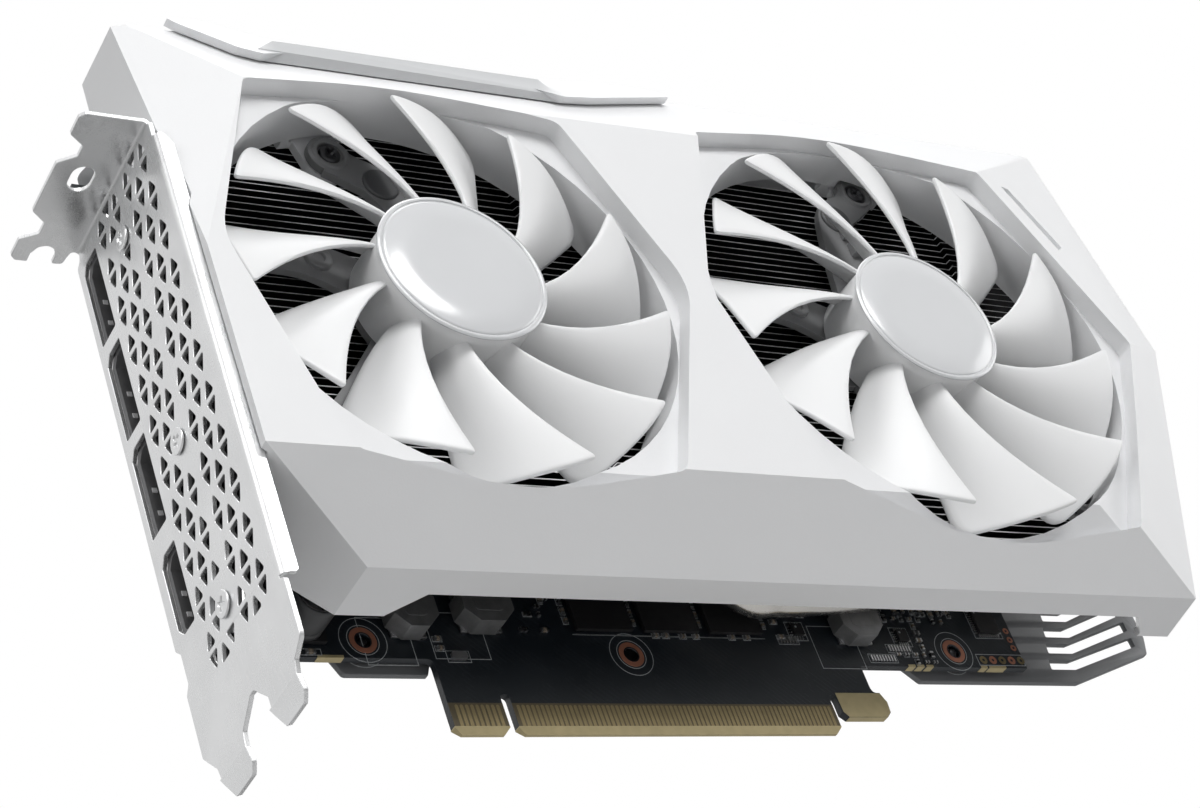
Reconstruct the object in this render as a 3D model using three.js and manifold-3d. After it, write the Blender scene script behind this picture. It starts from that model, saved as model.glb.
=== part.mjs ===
// A dual-fan graphics card: circuit board with an edge connector, slot bracket, heatsink with heat
// pipes, two axial fans of different size, a faceted shroud and a backplate.
//
// Units are millimetres, +Z is up. The origin lies on the bracket's outer face (x = 0), level with the
// component side of the circuit board (y = 0) and with the tips of its edge connector (z = 0).
// +X runs along the card away from the bracket and -Y points out of the fans.

import * as THREE from 'three';
import { mergeVertices } from 'three/addons/utils/BufferGeometryUtils.js';
import { ConvexGeometry } from 'three/addons/geometries/ConvexGeometry.js';
import Module from 'manifold-3d';

const wasm = await Module();
wasm.setup();

// ---------------------------------------------------------------- driving dimensions

const GAP = 0.3; // clearance between pieces that touch on the real card

// Shroud
const WALL = 1.8;
const FRONT_Y = -37;
const SHROUD_BACK_Y = -11;
const LEFT_X = 2.5;
const TAIL_X = 231.5;
const TOP_Z = 141.3;
const SHOULDER_Z = 137.6; // top of the end next to the bracket
const TAIL_TOP_Z = 139.5;
const UNDERSIDE_Z = 16.4;
const RECESS_DEPTH = 4;
const DUCT_END_Y = -21.6;
const DUCT_WALL = 1.5;

// Fans: middle, tip radius, duct radius, angle of the first blade's leading tip, and the first ear
const BLADE_COUNT = 11;
const CAP_RADIUS = 17.1;
const FANS = [
  { name: 'fan_left', x: 54, z: 76.2, tip: 44.4, duct: 46.2, tipAngle: -5.5, earRadius: 40.3, earAngle: 105 },
  { name: 'fan_right', x: 164.8, z: 77.6, tip: 49.4, duct: 51, tipAngle: -3.5, earRadius: 49, earAngle: 76 },
];
const CAP_FACE_Y = -36.8;
const HUB_FRONT_Y = -35.4;
const HUB_ROOF_Y = -33.6; // inner face of the hub's front wall
const HUB_BACK_Y = -23.5;
const FRAME_FRONT_Y = -22.9;
const FRAME_BACK_Y = -21;
const LUG_BACK_Y = -18.9;
const EAR_RADIUS = 4.6;
const SHAFT_RADIUS = 1.5;
const BEARING_BORE = 1.58;

// Circuit board
const BOARD_THICKNESS = 1.57;
const BOARD_LEFT_X = 1.2;
const BOARD_RIGHT_X = 187.2;
const BOARD_BOTTOM_Z = 15.4;
const BOARD_TOP_Z = 122;
const KEY_X = 58.8; // middle of the connector's keying slot
const KEY_WIDTH = 1.9;
const KEY_DEPTH = 8.25;
const SHORT_SIDE = 12.1; // from the key's middle to the near end of the contacts
const LONG_SIDE = 73.1; // from the key's middle to the far end of the contacts

// Slot bracket
const STEEL = 0.86;
const BRACKET_NEAR_Y = -34.85;
const BRACKET_FAR_Y = 3.86;
const FLANGE_DEPTH = 3.2;
const TAB_TOP_Z = 106.77;
const SLOT_PITCH = 20.32;

// Backplate
const PLATE_FRONT_Y = 3;
const PLATE_BACK_Y = 4.5;

// Heatsink
const FIN_FRONT_Y = -18.6;
const FIN_BACK_Y = -11.2;
const FIN_PITCH = 1.8;
const FIN_THICKNESS = 0.5;
const PIPE_RADIUS = 3;
const PIPE_Y = -7.75;

// ---------------------------------------------------------------- materials

const whitePlastic = { color: 0xe9eaec, roughness: 0.55, metalness: 0 };
const greyTrim = { color: 0xa9acb0, roughness: 0.45, metalness: 0.1 };
const fanPlastic = { color: 0xf1f2f3, roughness: 0.4, metalness: 0 };
const capPlastic = { color: 0xcfd1d4, roughness: 0.2, metalness: 0.05 };
const framePlastic = { color: 0x8a8c8f, roughness: 0.5, metalness: 0 };
const darkPlastic = { color: 0x3a3b3d, roughness: 0.6, metalness: 0 };
const blackPlastic = { color: 0x161718, roughness: 0.5, metalness: 0 };
const boardLaminate = { color: 0x15191d, roughness: 0.45, metalness: 0.05 };
const chipBlack = { color: 0x0c0c0d, roughness: 0.55, metalness: 0 };
const silicon = { color: 0x6c7078, roughness: 0.15, metalness: 0.6 };
const finAluminium = { color: 0x2b2c2e, roughness: 0.45, metalness: 0.8 };
const nickel = { color: 0xb9b6b0, roughness: 0.25, metalness: 1 };
const copper = { color: 0xb0704a, roughness: 0.3, metalness: 1 };
const ferrite = { color: 0x77797c, roughness: 0.5, metalness: 0.3 };
const steel = { color: 0xc4c5c6, roughness: 0.35, metalness: 0.9 };
const magnet = { color: 0x39332f, roughness: 0.6, metalness: 0.4 };
const backplateMetal = { color: 0x8f9194, roughness: 0.45, metalness: 0.7 };

// ---------------------------------------------------------------- solids

function toSolid(geometry) {
  const bare = geometry.clone();
  bare.deleteAttribute('normal');
  bare.deleteAttribute('uv');
  const welded = mergeVertices(bare, 1e-4);
  const vertProperties = new Float32Array(welded.attributes.position.array);
  const triVerts = new Uint32Array(welded.index.array);
  return new wasm.Manifold(new wasm.Mesh({ numProp: 3, vertProperties, triVerts }));
}

function toGeometry(solid) {
  const mesh = solid.getMesh();
  const geometry = new THREE.BufferGeometry();
  geometry.setAttribute('position', new THREE.BufferAttribute(mesh.vertProperties, mesh.numProp));
  geometry.setIndex(new THREE.BufferAttribute(mesh.triVerts, 1));
  geometry.computeVertexNormals();
  return geometry;
}

function box(x0, x1, y0, y1, z0, z1) {
  const geometry = new THREE.BoxGeometry(x1 - x0, y1 - y0, z1 - z0);
  return geometry.translate((x0 + x1) / 2, (y0 + y1) / 2, (z0 + z1) / 2);
}

// A closed polygon, always drawn anticlockwise.
function outline(points) {
  const corners = points.map(([a, b]) => new THREE.Vector2(a, b));
  if (THREE.ShapeUtils.isClockWise(corners)) corners.reverse();
  return new THREE.Shape(corners);
}

function circlePath(a, b, radius) {
  return new THREE.Path().absarc(a, b, radius, 0, Math.PI * 2, true);
}

// The shape's two axes become X and Z; it fills the space between two planes of constant y.
function extrudeY(shape, y0, y1, curveSegments = 12) {
  const options = { depth: y1 - y0, bevelEnabled: false, curveSegments };
  return new THREE.ExtrudeGeometry(shape, options).rotateX(Math.PI / 2).translate(0, y1, 0);
}

// The shape's two axes become Y and Z; it fills the space between two planes of constant x.
function extrudeX(shape, x0, x1, curveSegments = 12) {
  const options = { depth: x1 - x0, bevelEnabled: false, curveSegments };
  const turned = new THREE.Matrix4().makeBasis(
    new THREE.Vector3(0, 1, 0),
    new THREE.Vector3(0, 0, 1),
    new THREE.Vector3(1, 0, 0)
  );
  return new THREE.ExtrudeGeometry(shape, options).applyMatrix4(turned).translate(x0, 0, 0);
}

// The shape's two axes are X and Y; it fills the space between two planes of constant z.
function extrudeZ(shape, z0, z1, curveSegments = 12) {
  const options = { depth: z1 - z0, bevelEnabled: false, curveSegments };
  return new THREE.ExtrudeGeometry(shape, options).translate(0, 0, z0);
}

// Turned about the Y axis from [radius, y] pairs that close on themselves or run from axis to axis.
// The pairs run towards -Y on the outside, so that the faces point out.
function turned(profile, segments) {
  const points = profile.map(([radius, y]) => new THREE.Vector2(radius, y));
  return new THREE.LatheGeometry(points, segments);
}

function turnedRing(inner, outer, y0, y1, segments) {
  return turned([[inner, y0], [outer, y0], [outer, y1], [inner, y1], [inner, y0]], segments);
}

function turnedDisc(radius, y0, y1, segments) {
  return turned([[0, y0], [radius, y0], [radius, y1], [0, y1]], segments);
}

function discY(x, z, radius, y0, y1, segments = 24) {
  return turnedDisc(radius, y0, y1, segments).translate(x, 0, z);
}

function cut(base, ...tools) {
  return tools.reduce((solid, tool) => solid.subtract(tool), base);
}

function join(first, ...others) {
  return others.reduce((solid, other) => solid.add(other), first);
}

// Where two cuts graze each other they can leave a loose sliver; this keeps the piece itself.
function withoutSlivers(solid) {
  return solid.decompose().reduce((kept, body) => (body.volume() > kept.volume() ? body : kept));
}

const group = new THREE.Group();

function place(parent, name, geometry, finish) {
  const mesh = new THREE.Mesh(geometry, new THREE.MeshStandardMaterial(finish));
  mesh.name = name;
  parent.add(mesh);
  return mesh;
}

// ---------------------------------------------------------------- shroud

const EXHAUST_NEAR_Y = -31.4;
const EXHAUST_SPANS = [[12, 44.4], [52.2, 90.7], [98.5, 106]];

// Every corner of the outer facets. "inward" is how the corner moves for each millimetre of wall.
const SHROUD_CORNERS = [
  { at: [LEFT_X, -25.65, TOP_Z], inward: [1, 0.5, -1] },
  { at: [LEFT_X, FRONT_Y, 74], inward: [1, 1, 0] },
  { at: [LEFT_X, FRONT_Y, 31.5], inward: [1, 1, 0.3] },
  { at: [19.9, FRONT_Y, 117.3], inward: [0.3, 1, -0.3] },
  { at: [200.5, FRONT_Y, 122.6], inward: [-0.3, 1, -0.3] },
  { at: [219.9, FRONT_Y, 75.2], inward: [-0.3, 1, 0] },
  { at: [191.9, FRONT_Y, 31.5], inward: [-0.3, 1, 0.3] },
  { at: [TAIL_X, -28.55, TOP_Z], inward: [-1, 0.5, -1] },
  { at: [TAIL_X, -34, 76.5], inward: [-1, 0.5, 0] },
  { at: [215.6, -24.6, UNDERSIDE_Z], inward: [-1, 0.5, 1] },
  { at: [22.4, -24.6, UNDERSIDE_Z], inward: [0.5, 0.5, 1] },
  { at: [LEFT_X, SHROUD_BACK_Y, TOP_Z], inward: [1, 1, -1] },
  { at: [LEFT_X, SHROUD_BACK_Y, 31.5], inward: [1, 1, 0.3] },
  { at: [22.4, SHROUD_BACK_Y, UNDERSIDE_Z], inward: [0.5, 1, 1] },
  { at: [218.9, SHROUD_BACK_Y, UNDERSIDE_Z], inward: [-1, 1, 1] },
  { at: [TAIL_X, SHROUD_BACK_Y, 76.5], inward: [-1, 1, 0] },
  { at: [TAIL_X, SHROUD_BACK_Y, TOP_Z], inward: [-1, 1, -1] },
];

// The faceted envelope, moved in by a depth. The back corners also move back, which opens the back.
function envelope(depth) {
  const corners = SHROUD_CORNERS.map(({ at, inward }) => {
    const [x, y, z] = at.map((value, axis) => value + inward[axis] * depth);
    return new THREE.Vector3(x, y, z);
  });
  return toSolid(new ConvexGeometry(corners));
}

// The opening over each fan: [x, z, corner radius]. A bowed corner is rounded as far as its two sides
// allow, which turns them into one curved edge.
const BOWED = Infinity;
const OPENINGS = [
  [[19.9, 117, 2], [52, 123.3, BOWED], [88.3, 118, 3], [104.4, 77.3, 16], [85.6, 31.3, 3],
    [54, 26.8, BOWED], [18.7, 31.5, 3], [6.2, 77.5, 16]],
  [[124.2, 122.6, 2], [162, 131.2, BOWED], [200.8, 122.6, 3], [220.8, 75.2, 3], [199.2, 27.3, 3],
    [160.9, 22.3, BOWED], [120.4, 31.7, 3], [109, 77.5, 3]],
];

// A closed outline whose corners are rounded; "grow" moves every corner away from the middle.
function roundedOutline(corners, grow = 0) {
  const count = corners.length;
  const middle = [0, 1].map((axis) => corners.reduce((sum, corner) => sum + corner[axis], 0) / count);
  const points = corners.map((corner) => {
    const [a, b] = [corner[0] - middle[0], corner[1] - middle[1]];
    const scale = 1 + grow / Math.hypot(a, b);
    return new THREE.Vector2(middle[0] + a * scale, middle[1] + b * scale);
  });
  const shape = new THREE.Shape();
  points.forEach((point, i) => {
    const toBefore = points[(i + count - 1) % count].clone().sub(point);
    const toAfter = points[(i + 1) % count].clone().sub(point);
    const wanted = corners[i][2] / Math.tan(toBefore.angleTo(toAfter) / 2);
    const reach = Math.min(wanted, toBefore.length() * 0.45, toAfter.length() * 0.45);
    const start = point.clone().add(toBefore.setLength(reach));
    const end = point.clone().add(toAfter.setLength(reach));
    if (i === 0) shape.moveTo(start.x, start.y);
    else shape.lineTo(start.x, start.y);
    shape.quadraticCurveTo(point.x, point.y, end.x, end.y);
  });
  shape.closePath();
  return shape;
}

const outer = envelope(0);
const inner = envelope(WALL);
const recessFloor = envelope(RECESS_DEPTH);
const boreRoom = envelope(RECESS_DEPTH - 0.1);
const recessBack = envelope(RECESS_DEPTH + WALL);

// Positions on a fan's pitch circle, counted from its first ear.
function earPositions(fan) {
  return [0, 120, 240].map((step) => {
    const angle = THREE.MathUtils.degToRad(fan.earAngle + step);
    return [fan.x + fan.earRadius * Math.cos(angle), fan.z + fan.earRadius * Math.sin(angle), angle];
  });
}

// A screw boss behind a fan ear, bridged to two posts on the duct either side of the ear's pocket.
function lug(fan, [x, z, angle]) {
  const front = FRAME_BACK_Y + GAP;
  const near = fan.duct - 0.2 - fan.earRadius;
  const far = fan.duct + DUCT_WALL - 0.1 - fan.earRadius;
  const bars = [
    box(0, far, front, LUG_BACK_Y, -EAR_RADIUS, EAR_RADIUS),
    box(near, far, front, LUG_BACK_Y, -7.4, 7.4),
    box(near, far, DUCT_END_Y - 1, LUG_BACK_Y, -7.4, -5.4),
    box(near, far, DUCT_END_Y - 1, LUG_BACK_Y, 5.4, 7.4),
  ];
  const boss = toSolid(discY(x, z, EAR_RADIUS, front, LUG_BACK_Y, 16));
  return join(boss, ...bars.map((bar) => toSolid(bar.rotateY(-angle).translate(x, 0, z))));
}

function buildShroud() {
  let shell = cut(outer, inner);
  OPENINGS.forEach((corners) => {
    const pocket = toSolid(extrudeY(roundedOutline(corners, WALL + 0.4), -50, 0, 6));
    shell = shell.add(pocket.intersect(cut(outer, recessBack)));
  });
  FANS.forEach((fan) => {
    const duct = turnedRing(fan.duct - 0.4, fan.duct + DUCT_WALL, FRONT_Y + 3, DUCT_END_Y, 56);
    shell = shell.add(toSolid(duct.translate(fan.x, 0, fan.z)).intersect(inner));
  });
  OPENINGS.forEach((corners) => {
    const opening = toSolid(extrudeY(roundedOutline(corners), -50, 0, 6));
    shell = shell.subtract(cut(opening, recessFloor));
  });
  FANS.forEach((fan) => {
    const ears = earPositions(fan);
    const bore = toSolid(discY(fan.x, fan.z, fan.duct, FRONT_Y, 0, 56));
    const pockets = ears.map(([x, z]) => toSolid(discY(x, z, EAR_RADIUS + 0.4, -24, -20.8, 16)));
    shell = cut(shell, bore.intersect(boreRoom), ...pockets);
    shell = join(shell, ...ears.map((ear) => lug(fan, ear)));
    shell = cut(shell, ...ears.map(([x, z]) => toSolid(discY(x, z, 1.5, -30, LUG_BACK_Y + 1, 10))));
  });

  // The top edge is solid and raised in the middle, over the trim.
  const rim = toSolid(box(LEFT_X, TAIL_X, -60, SHROUD_BACK_Y, SHOULDER_Z - WALL, TOP_Z)).intersect(outer);
  const leftStep = outline([[-10, SHOULDER_Z], [14, SHOULDER_Z], [21, TOP_Z], [21, 150], [-10, 150]]);
  const rightStep = outline([[119, 150], [119, TOP_Z], [125, TAIL_TOP_Z], [240, TAIL_TOP_Z], [240, 150]]);
  shell = cut(shell.add(rim), toSolid(extrudeY(leftStep, -60, 0)), toSolid(extrudeY(rightStep, -60, 0)));

  // The underside stops short of the board, except at its two ends.
  const underside = outline([[32, 0], [32, -11.2], [37.4, -17.6], [205, -17.6], [210, -12], [210, 0]]);
  shell = shell.subtract(toSolid(extrudeZ(underside, 5, UNDERSIDE_Z + 4)));

  // Bosses for the bracket's two upper screws.
  const bosses = BRACKET_SCREWS.filter(([, z]) => z > 20);
  bosses.forEach(([y, z]) => {
    shell = shell.add(toSolid(discX(y, z, 3.4, LEFT_X, 9, 14)));
    shell = shell.subtract(toSolid(discX(y, z, 1.6, 0, 8, 12)));
  });

  // Exhaust openings behind the bracket's vents, between the two bosses.
  EXHAUST_SPANS.forEach(([z0, z1]) => {
    shell = shell.subtract(toSolid(box(0, LEFT_X + WALL + 1, EXHAUST_NEAR_Y, 0, z0, z1)));
  });

  // A groove along the left edge for the bracket's stiffening flange.
  const flangeRoom = box(0, FLANGE_DEPTH + GAP, BRACKET_NEAR_Y - GAP, BRACKET_NEAR_Y + STEEL + GAP, 0, 102.3);
  shell = shell.subtract(toSolid(flangeRoom));

  // A decorative groove on the upper tail facet.
  const groove = outline([[208.1, 120.9], [210.6, 120.9], [218.3, 104.6], [216, 103]]);
  const tailRoom = toSolid(extrudeY(groove, -50, -20)).subtract(envelope(1.2));
  return withoutSlivers(shell.subtract(tailRoom));
}

function discX(y, z, radius, x0, x1, segments) {
  const turn = new THREE.CylinderGeometry(radius, radius, x1 - x0, segments).rotateZ(Math.PI / 2);
  return turn.translate((x0 + x1) / 2, y, z);
}

// The grey trim lies on the top front slope: two low arms and, between them, a ridge with an upright
// front face above a face that leans out over the slope.
const TRIM_HEIGHT = 2;
const TRIM_ARMS = [
  [[13.2, 139.4], [14.2, 137.4], [23, 128.4], [27.4, 126.8], [36, 130], [34, 134.5], [20.5, 140.6]],
  [[88, 130], [94, 127.6], [102, 129.4], [126.2, 137.6], [125.4, 140], [117, 140.6], [90, 135.5]],
];
const TRIM_RIDGE = [
  [27.4, -32.7, 126.8], [95, -33.2, 127.5], [27.2, -34.3, 128.9], [93.8, -34.4, 129],
  [30.8, -34.3, 131.6], [90.4, -34.3, 132.9], [33, -29.5, 136], [90, -29.5, 137.5],
  [27.6, -29, 127], [95, -29, 127.5],
];

function buildTopTrim() {
  const proud = outer.translate([0, -TRIM_HEIGHT - GAP, 0]);
  const arms = TRIM_ARMS.map((face) => toSolid(extrudeY(outline(face), -45, -20)).intersect(proud));
  const ridge = toSolid(new ConvexGeometry(TRIM_RIDGE.map((corner) => new THREE.Vector3(...corner))));
  return withoutSlivers(join(ridge, ...arms).subtract(outer.translate([0, -GAP, 0])));
}

// ---------------------------------------------------------------- fans

// One blade: a thin sheet, swept forward and bulging to the front. The leading edge is the one nearest
// the front. "span" runs from the root to the tip and "aft" from the leading to the trailing edge.
const BLADE_THICKNESS = 1.1;
const BLADE_ROOT = 15.6;

function bladeGeometry({ tip, tipAngle }) {
  const chordSteps = 4;
  const radialSteps = 4;
  const blade = new THREE.BoxGeometry(1, 1, 1, chordSteps, 1, radialSteps);
  const vertices = blade.attributes.position;
  for (let i = 0; i < vertices.count; i += 1) {
    const aft = vertices.getX(i) + 0.5;
    const sheet = vertices.getY(i) + 0.5;
    const span = vertices.getZ(i) + 0.5;
    const radius = BLADE_ROOT + (tip - BLADE_ROOT) * span;
    const sweep = 21.5 * (1 - span) + 8.6 * (1 - span) ** 2;
    const width = 15 + 15.5 * span;
    const angle = THREE.MathUtils.degToRad(tipAngle - sweep - width * aft);
    const leadingY = -33.9 - 1.25 * span - 0.5 * span ** 2;
    const depth = 6 + 4.6 * span;
    const bulge = (1.2 + span) * Math.sin(Math.PI * aft);
    const y = leadingY + depth * aft - bulge + sheet * BLADE_THICKNESS;
    vertices.setXYZ(i, radius * Math.cos(angle), y, radius * Math.sin(angle));
  }
  return blade;
}

function buildRotor(fan) {
  const bore = SHAFT_RADIUS + 0.08;
  const hub = toSolid(turned([
    [bore, HUB_FRONT_Y], [16.4, HUB_FRONT_Y], [16.8, -32], [16.8, HUB_BACK_Y], [15.1, HUB_BACK_Y],
    [15.1, HUB_ROOF_Y], [3.4, HUB_ROOF_Y], [3.4, -31.6], [bore, -31.6], [bore, HUB_FRONT_Y],
  ], 33));
  const hollow = toSolid(turnedDisc(15.4, HUB_ROOF_Y, HUB_BACK_Y + 2, 33));
  const blade = cut(toSolid(bladeGeometry(fan)), hollow);
  const blades = [];
  for (let i = 0; i < BLADE_COUNT; i += 1) {
    blades.push(blade.rotate([0, (360 / BLADE_COUNT) * i, 0]));
  }
  return join(hub, ...blades);
}

// The motor plate and three arms. Each arm ends in an ear, counterbored for its screw.
function buildFrame(fan) {
  const plate = toSolid(turnedDisc(16.6, FRAME_FRONT_Y, FRAME_BACK_Y, 40));
  const ears = earPositions(fan).map(([x, z, angle]) => [x - fan.x, z - fan.z, angle]);
  const arms = ears.map(([x, z, angle]) => {
    const arm = box(0, fan.earRadius, FRAME_FRONT_Y, FRAME_BACK_Y, -3.2, 3.2).rotateY(-angle);
    const ear = discY(x, z, EAR_RADIUS, FRAME_FRONT_Y - 0.3, FRAME_BACK_Y, 20);
    return join(toSolid(arm), toSolid(ear));
  });
  const holes = ears.map(([x, z]) => discY(x, z, 1.6, -25, -15, 12));
  const sinks = ears.map(([x, z]) => discY(x, z, 3, -25, FRAME_BACK_Y - 1, 16));
  const seat = turnedDisc(3.5, -25, -15, 20);
  return cut(join(plate, ...arms), ...[...holes, ...sinks, seat].map(toSolid));
}

function buildStator() {
  const core = toSolid(turnedRing(3.6, 12.8, -31, FRAME_FRONT_Y - GAP, 36));
  const slot = new THREE.BoxGeometry(2.2, 20, 8).translate(0, -26, 11);
  const slots = [0, 1, 2, 3].map((i) => toSolid(slot.clone().rotateY((i * Math.PI) / 2)));
  return cut(core, ...slots);
}

// A screw along Y: head towards +Y, shank towards -Y, its head's seat at y = 0.
function screwGeometry(head, shank, length, height) {
  return turned([[0, -length], [shank, -length], [shank, 0], [head, 0], [head, height * 0.6],
    [head * 0.7, height], [0, height]], 12);
}

function buildFan(fan) {
  const assembly = new THREE.Group();
  assembly.position.set(fan.x, 0, fan.z);
  group.add(assembly);

  place(assembly, `${fan.name}_rotor`, toGeometry(buildRotor(fan)), fanPlastic);
  const capBack = HUB_FRONT_Y - GAP;
  const cap = turned([[0, CAP_FACE_Y], [CAP_RADIUS - 1.6, CAP_FACE_Y], [CAP_RADIUS - 0.6, CAP_FACE_Y + 0.25],
    [CAP_RADIUS, CAP_FACE_Y + 0.7], [CAP_RADIUS - 0.3, capBack], [0, capBack]], 40);
  place(assembly, `${fan.name}_hub_cap`, cap, capPlastic);
  place(assembly, `${fan.name}_magnet_ring`, turnedRing(13.3, 14.8, -32, -24, 30), magnet);
  place(assembly, `${fan.name}_shaft`, turnedDisc(SHAFT_RADIUS, -34.4, -21.4, 20), steel);
  place(assembly, `${fan.name}_bearing`, turnedRing(BEARING_BORE, 3.2, -31.2, FRAME_BACK_Y, 20), nickel);
  place(assembly, `${fan.name}_stator`, toGeometry(buildStator()), copper);
  place(assembly, `${fan.name}_frame`, toGeometry(buildFrame(fan)), framePlastic);
  earPositions(fan).forEach(([x, z], i) => {
    const screw = place(assembly, `${fan.name}_screw_${i + 1}`, screwGeometry(2.6, 1.2, 3, 1.1), steel);
    screw.rotation.x = Math.PI;
    screw.position.set(x - fan.x, FRAME_BACK_Y - 1 - GAP, z - fan.z);
  });
}

// ---------------------------------------------------------------- heatsink

// Parallel fins joined along their backs, drawn in the YZ plane and drawn out along X.
function finStack(z0, z1, x0, x1) {
  const spine = FIN_BACK_Y - 1;
  const count = Math.floor((z1 - z0) / FIN_PITCH);
  const points = [[FIN_BACK_Y, z0], [FIN_BACK_Y, z0 + count * FIN_PITCH + FIN_THICKNESS]];
  for (let i = count; i >= 0; i -= 1) {
    const low = z0 + i * FIN_PITCH;
    if (i < count) points.push([spine, low + FIN_THICKNESS]);
    points.push([FIN_FRONT_Y, low + FIN_THICKNESS], [FIN_FRONT_Y, low]);
    if (i > 0) points.push([spine, low]);
  }
  return extrudeX(outline(points), x0, x1);
}

// Routes of the heat pipes across the cold plate, as [x, z] points on the pipe's middle line.
const HEAT_PIPES = [
  [[190, 29], [166, 28], [150, 27.2], [136, 25.5], [122, 24.5], [112, 26], [99, 44], [88, 51], [72, 53],
    [20, 53]],
  [[214, 62], [150, 62], [126, 64], [100, 66], [76, 68], [20, 70]],
  [[214, 104], [160, 104], [140, 99], [125, 87], [110, 80], [90, 79], [66, 86], [20, 90]],
];

function pipeGeometry(route) {
  const points = route.map(([x, z]) => new THREE.Vector3(x, PIPE_Y, z));
  const extrudePath = new THREE.CatmullRomCurve3(points, false, 'centripetal');
  const section = new THREE.Shape().absarc(0, 0, PIPE_RADIUS, 0, Math.PI * 2);
  return new THREE.ExtrudeGeometry(section, { steps: 18, extrudePath, curveSegments: 5, bevelEnabled: false });
}

function buildHeatsink() {
  // The left stack clears the shroud's sloping lower corner.
  const corner = toSolid(extrudeY(outline([[0, 10], [29, 10], [29, 20], [6, 37], [0, 37]]), -30, 0));
  const left = cut(toSolid(finStack(22, 130, 11, 117)), corner);
  place(group, 'fin_stack_left', toGeometry(left), finAluminium);
  place(group, 'fin_stack_right', finStack(30, 130, 118, 218), finAluminium);
  place(group, 'cold_plate', box(76, 124, -4.45, -2.9, 40, 88), copper);
  HEAT_PIPES.forEach((route, i) => {
    place(group, `heat_pipe_${i + 1}`, pipeGeometry(route), nickel);
  });
}

// ---------------------------------------------------------------- circuit board

const BOARD_HOLES = [[33.8, 19.1], [89.4, 17.1], [169.2, 19.3], [178, 112], [30, 112]];
const PORTS = [
  { name: 'display_port_1', z0: 83.4, z1: 101.6, hdmi: false },
  { name: 'display_port_2', z0: 61.8, z1: 80, hdmi: false },
  { name: 'display_port_3', z0: 40.3, z1: 58.5, hdmi: false },
  { name: 'video_port', z0: 19.3, z1: 35, hdmi: true },
];
const PORT_DEPTH_X = 13;

function boardOutline() {
  const first = KEY_X - SHORT_SIDE;
  const last = KEY_X + LONG_SIDE;
  const half = KEY_WIDTH / 2;
  const corner = 1.3;
  const shape = new THREE.Shape();
  shape.moveTo(BOARD_LEFT_X, BOARD_BOTTOM_Z);
  shape.lineTo(first - 1.4, BOARD_BOTTOM_Z);
  shape.quadraticCurveTo(first, BOARD_BOTTOM_Z, first, BOARD_BOTTOM_Z - 1.4);
  shape.lineTo(first, corner);
  shape.lineTo(first + corner, 0);
  shape.lineTo(KEY_X - half - corner, 0);
  shape.lineTo(KEY_X - half, corner);
  shape.lineTo(KEY_X - half, KEY_DEPTH - half);
  shape.absarc(KEY_X, KEY_DEPTH - half, half, Math.PI, 0, true);
  shape.lineTo(KEY_X + half, corner);
  shape.lineTo(KEY_X + half + corner, 0);
  shape.lineTo(last - corner, 0);
  shape.lineTo(last, corner);
  // Slot behind the contacts, then the retention hook.
  shape.lineTo(last, 7);
  shape.quadraticCurveTo(last, 8.6, last + 0.9, 8.6);
  shape.quadraticCurveTo(last + 1.8, 8.6, last + 1.8, 7);
  shape.lineTo(last + 1.8, 4.6);
  shape.lineTo(last + 3, 3.5);
  shape.lineTo(last + 12.6, 3.5);
  shape.lineTo(last + 13.8, 4.6);
  shape.lineTo(last + 14, 7);
  shape.lineTo(last + 13, 9.1);
  shape.lineTo(last + 12.4, 9.1);
  shape.quadraticCurveTo(last + 11.2, 9.1, last + 11.2, 10.6);
  shape.lineTo(last + 11.2, BOARD_BOTTOM_Z);
  shape.lineTo(BOARD_RIGHT_X, BOARD_BOTTOM_Z);
  shape.lineTo(BOARD_RIGHT_X, BOARD_TOP_Z);
  shape.lineTo(BOARD_LEFT_X, BOARD_TOP_Z);
  // Notches in the bracket edge, where the display connectors sit in the board.
  PORTS.forEach(({ z0, z1 }) => {
    shape.lineTo(BOARD_LEFT_X, z1 + GAP);
    shape.lineTo(PORT_DEPTH_X + GAP, z1 + GAP);
    shape.lineTo(PORT_DEPTH_X + GAP, z0 - GAP);
    shape.lineTo(BOARD_LEFT_X, z0 - GAP);
  });
  shape.closePath();
  shape.holes = BOARD_HOLES.map(([x, z]) => circlePath(x, z, 1.6));
  return shape;
}

function buildBoard() {
  const board = toSolid(extrudeY(boardOutline(), 0, BOARD_THICKNESS, 5));
  const first = KEY_X - SHORT_SIDE - 1;
  const last = KEY_X + LONG_SIDE + 0.9;
  const bevel = 0.5;
  const rise = 1.4;
  const front = outline([[-1, -1], [bevel, -1], [bevel, 0], [0, rise], [-1, rise]]);
  const t = BOARD_THICKNESS;
  const back = outline([[t + 1, -1], [t + 1, rise], [t, rise], [t - bevel, 0], [t - bevel, -1]]);
  return cut(board, toSolid(extrudeX(front, first, last)), toSolid(extrudeX(back, first, last)));
}

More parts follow.
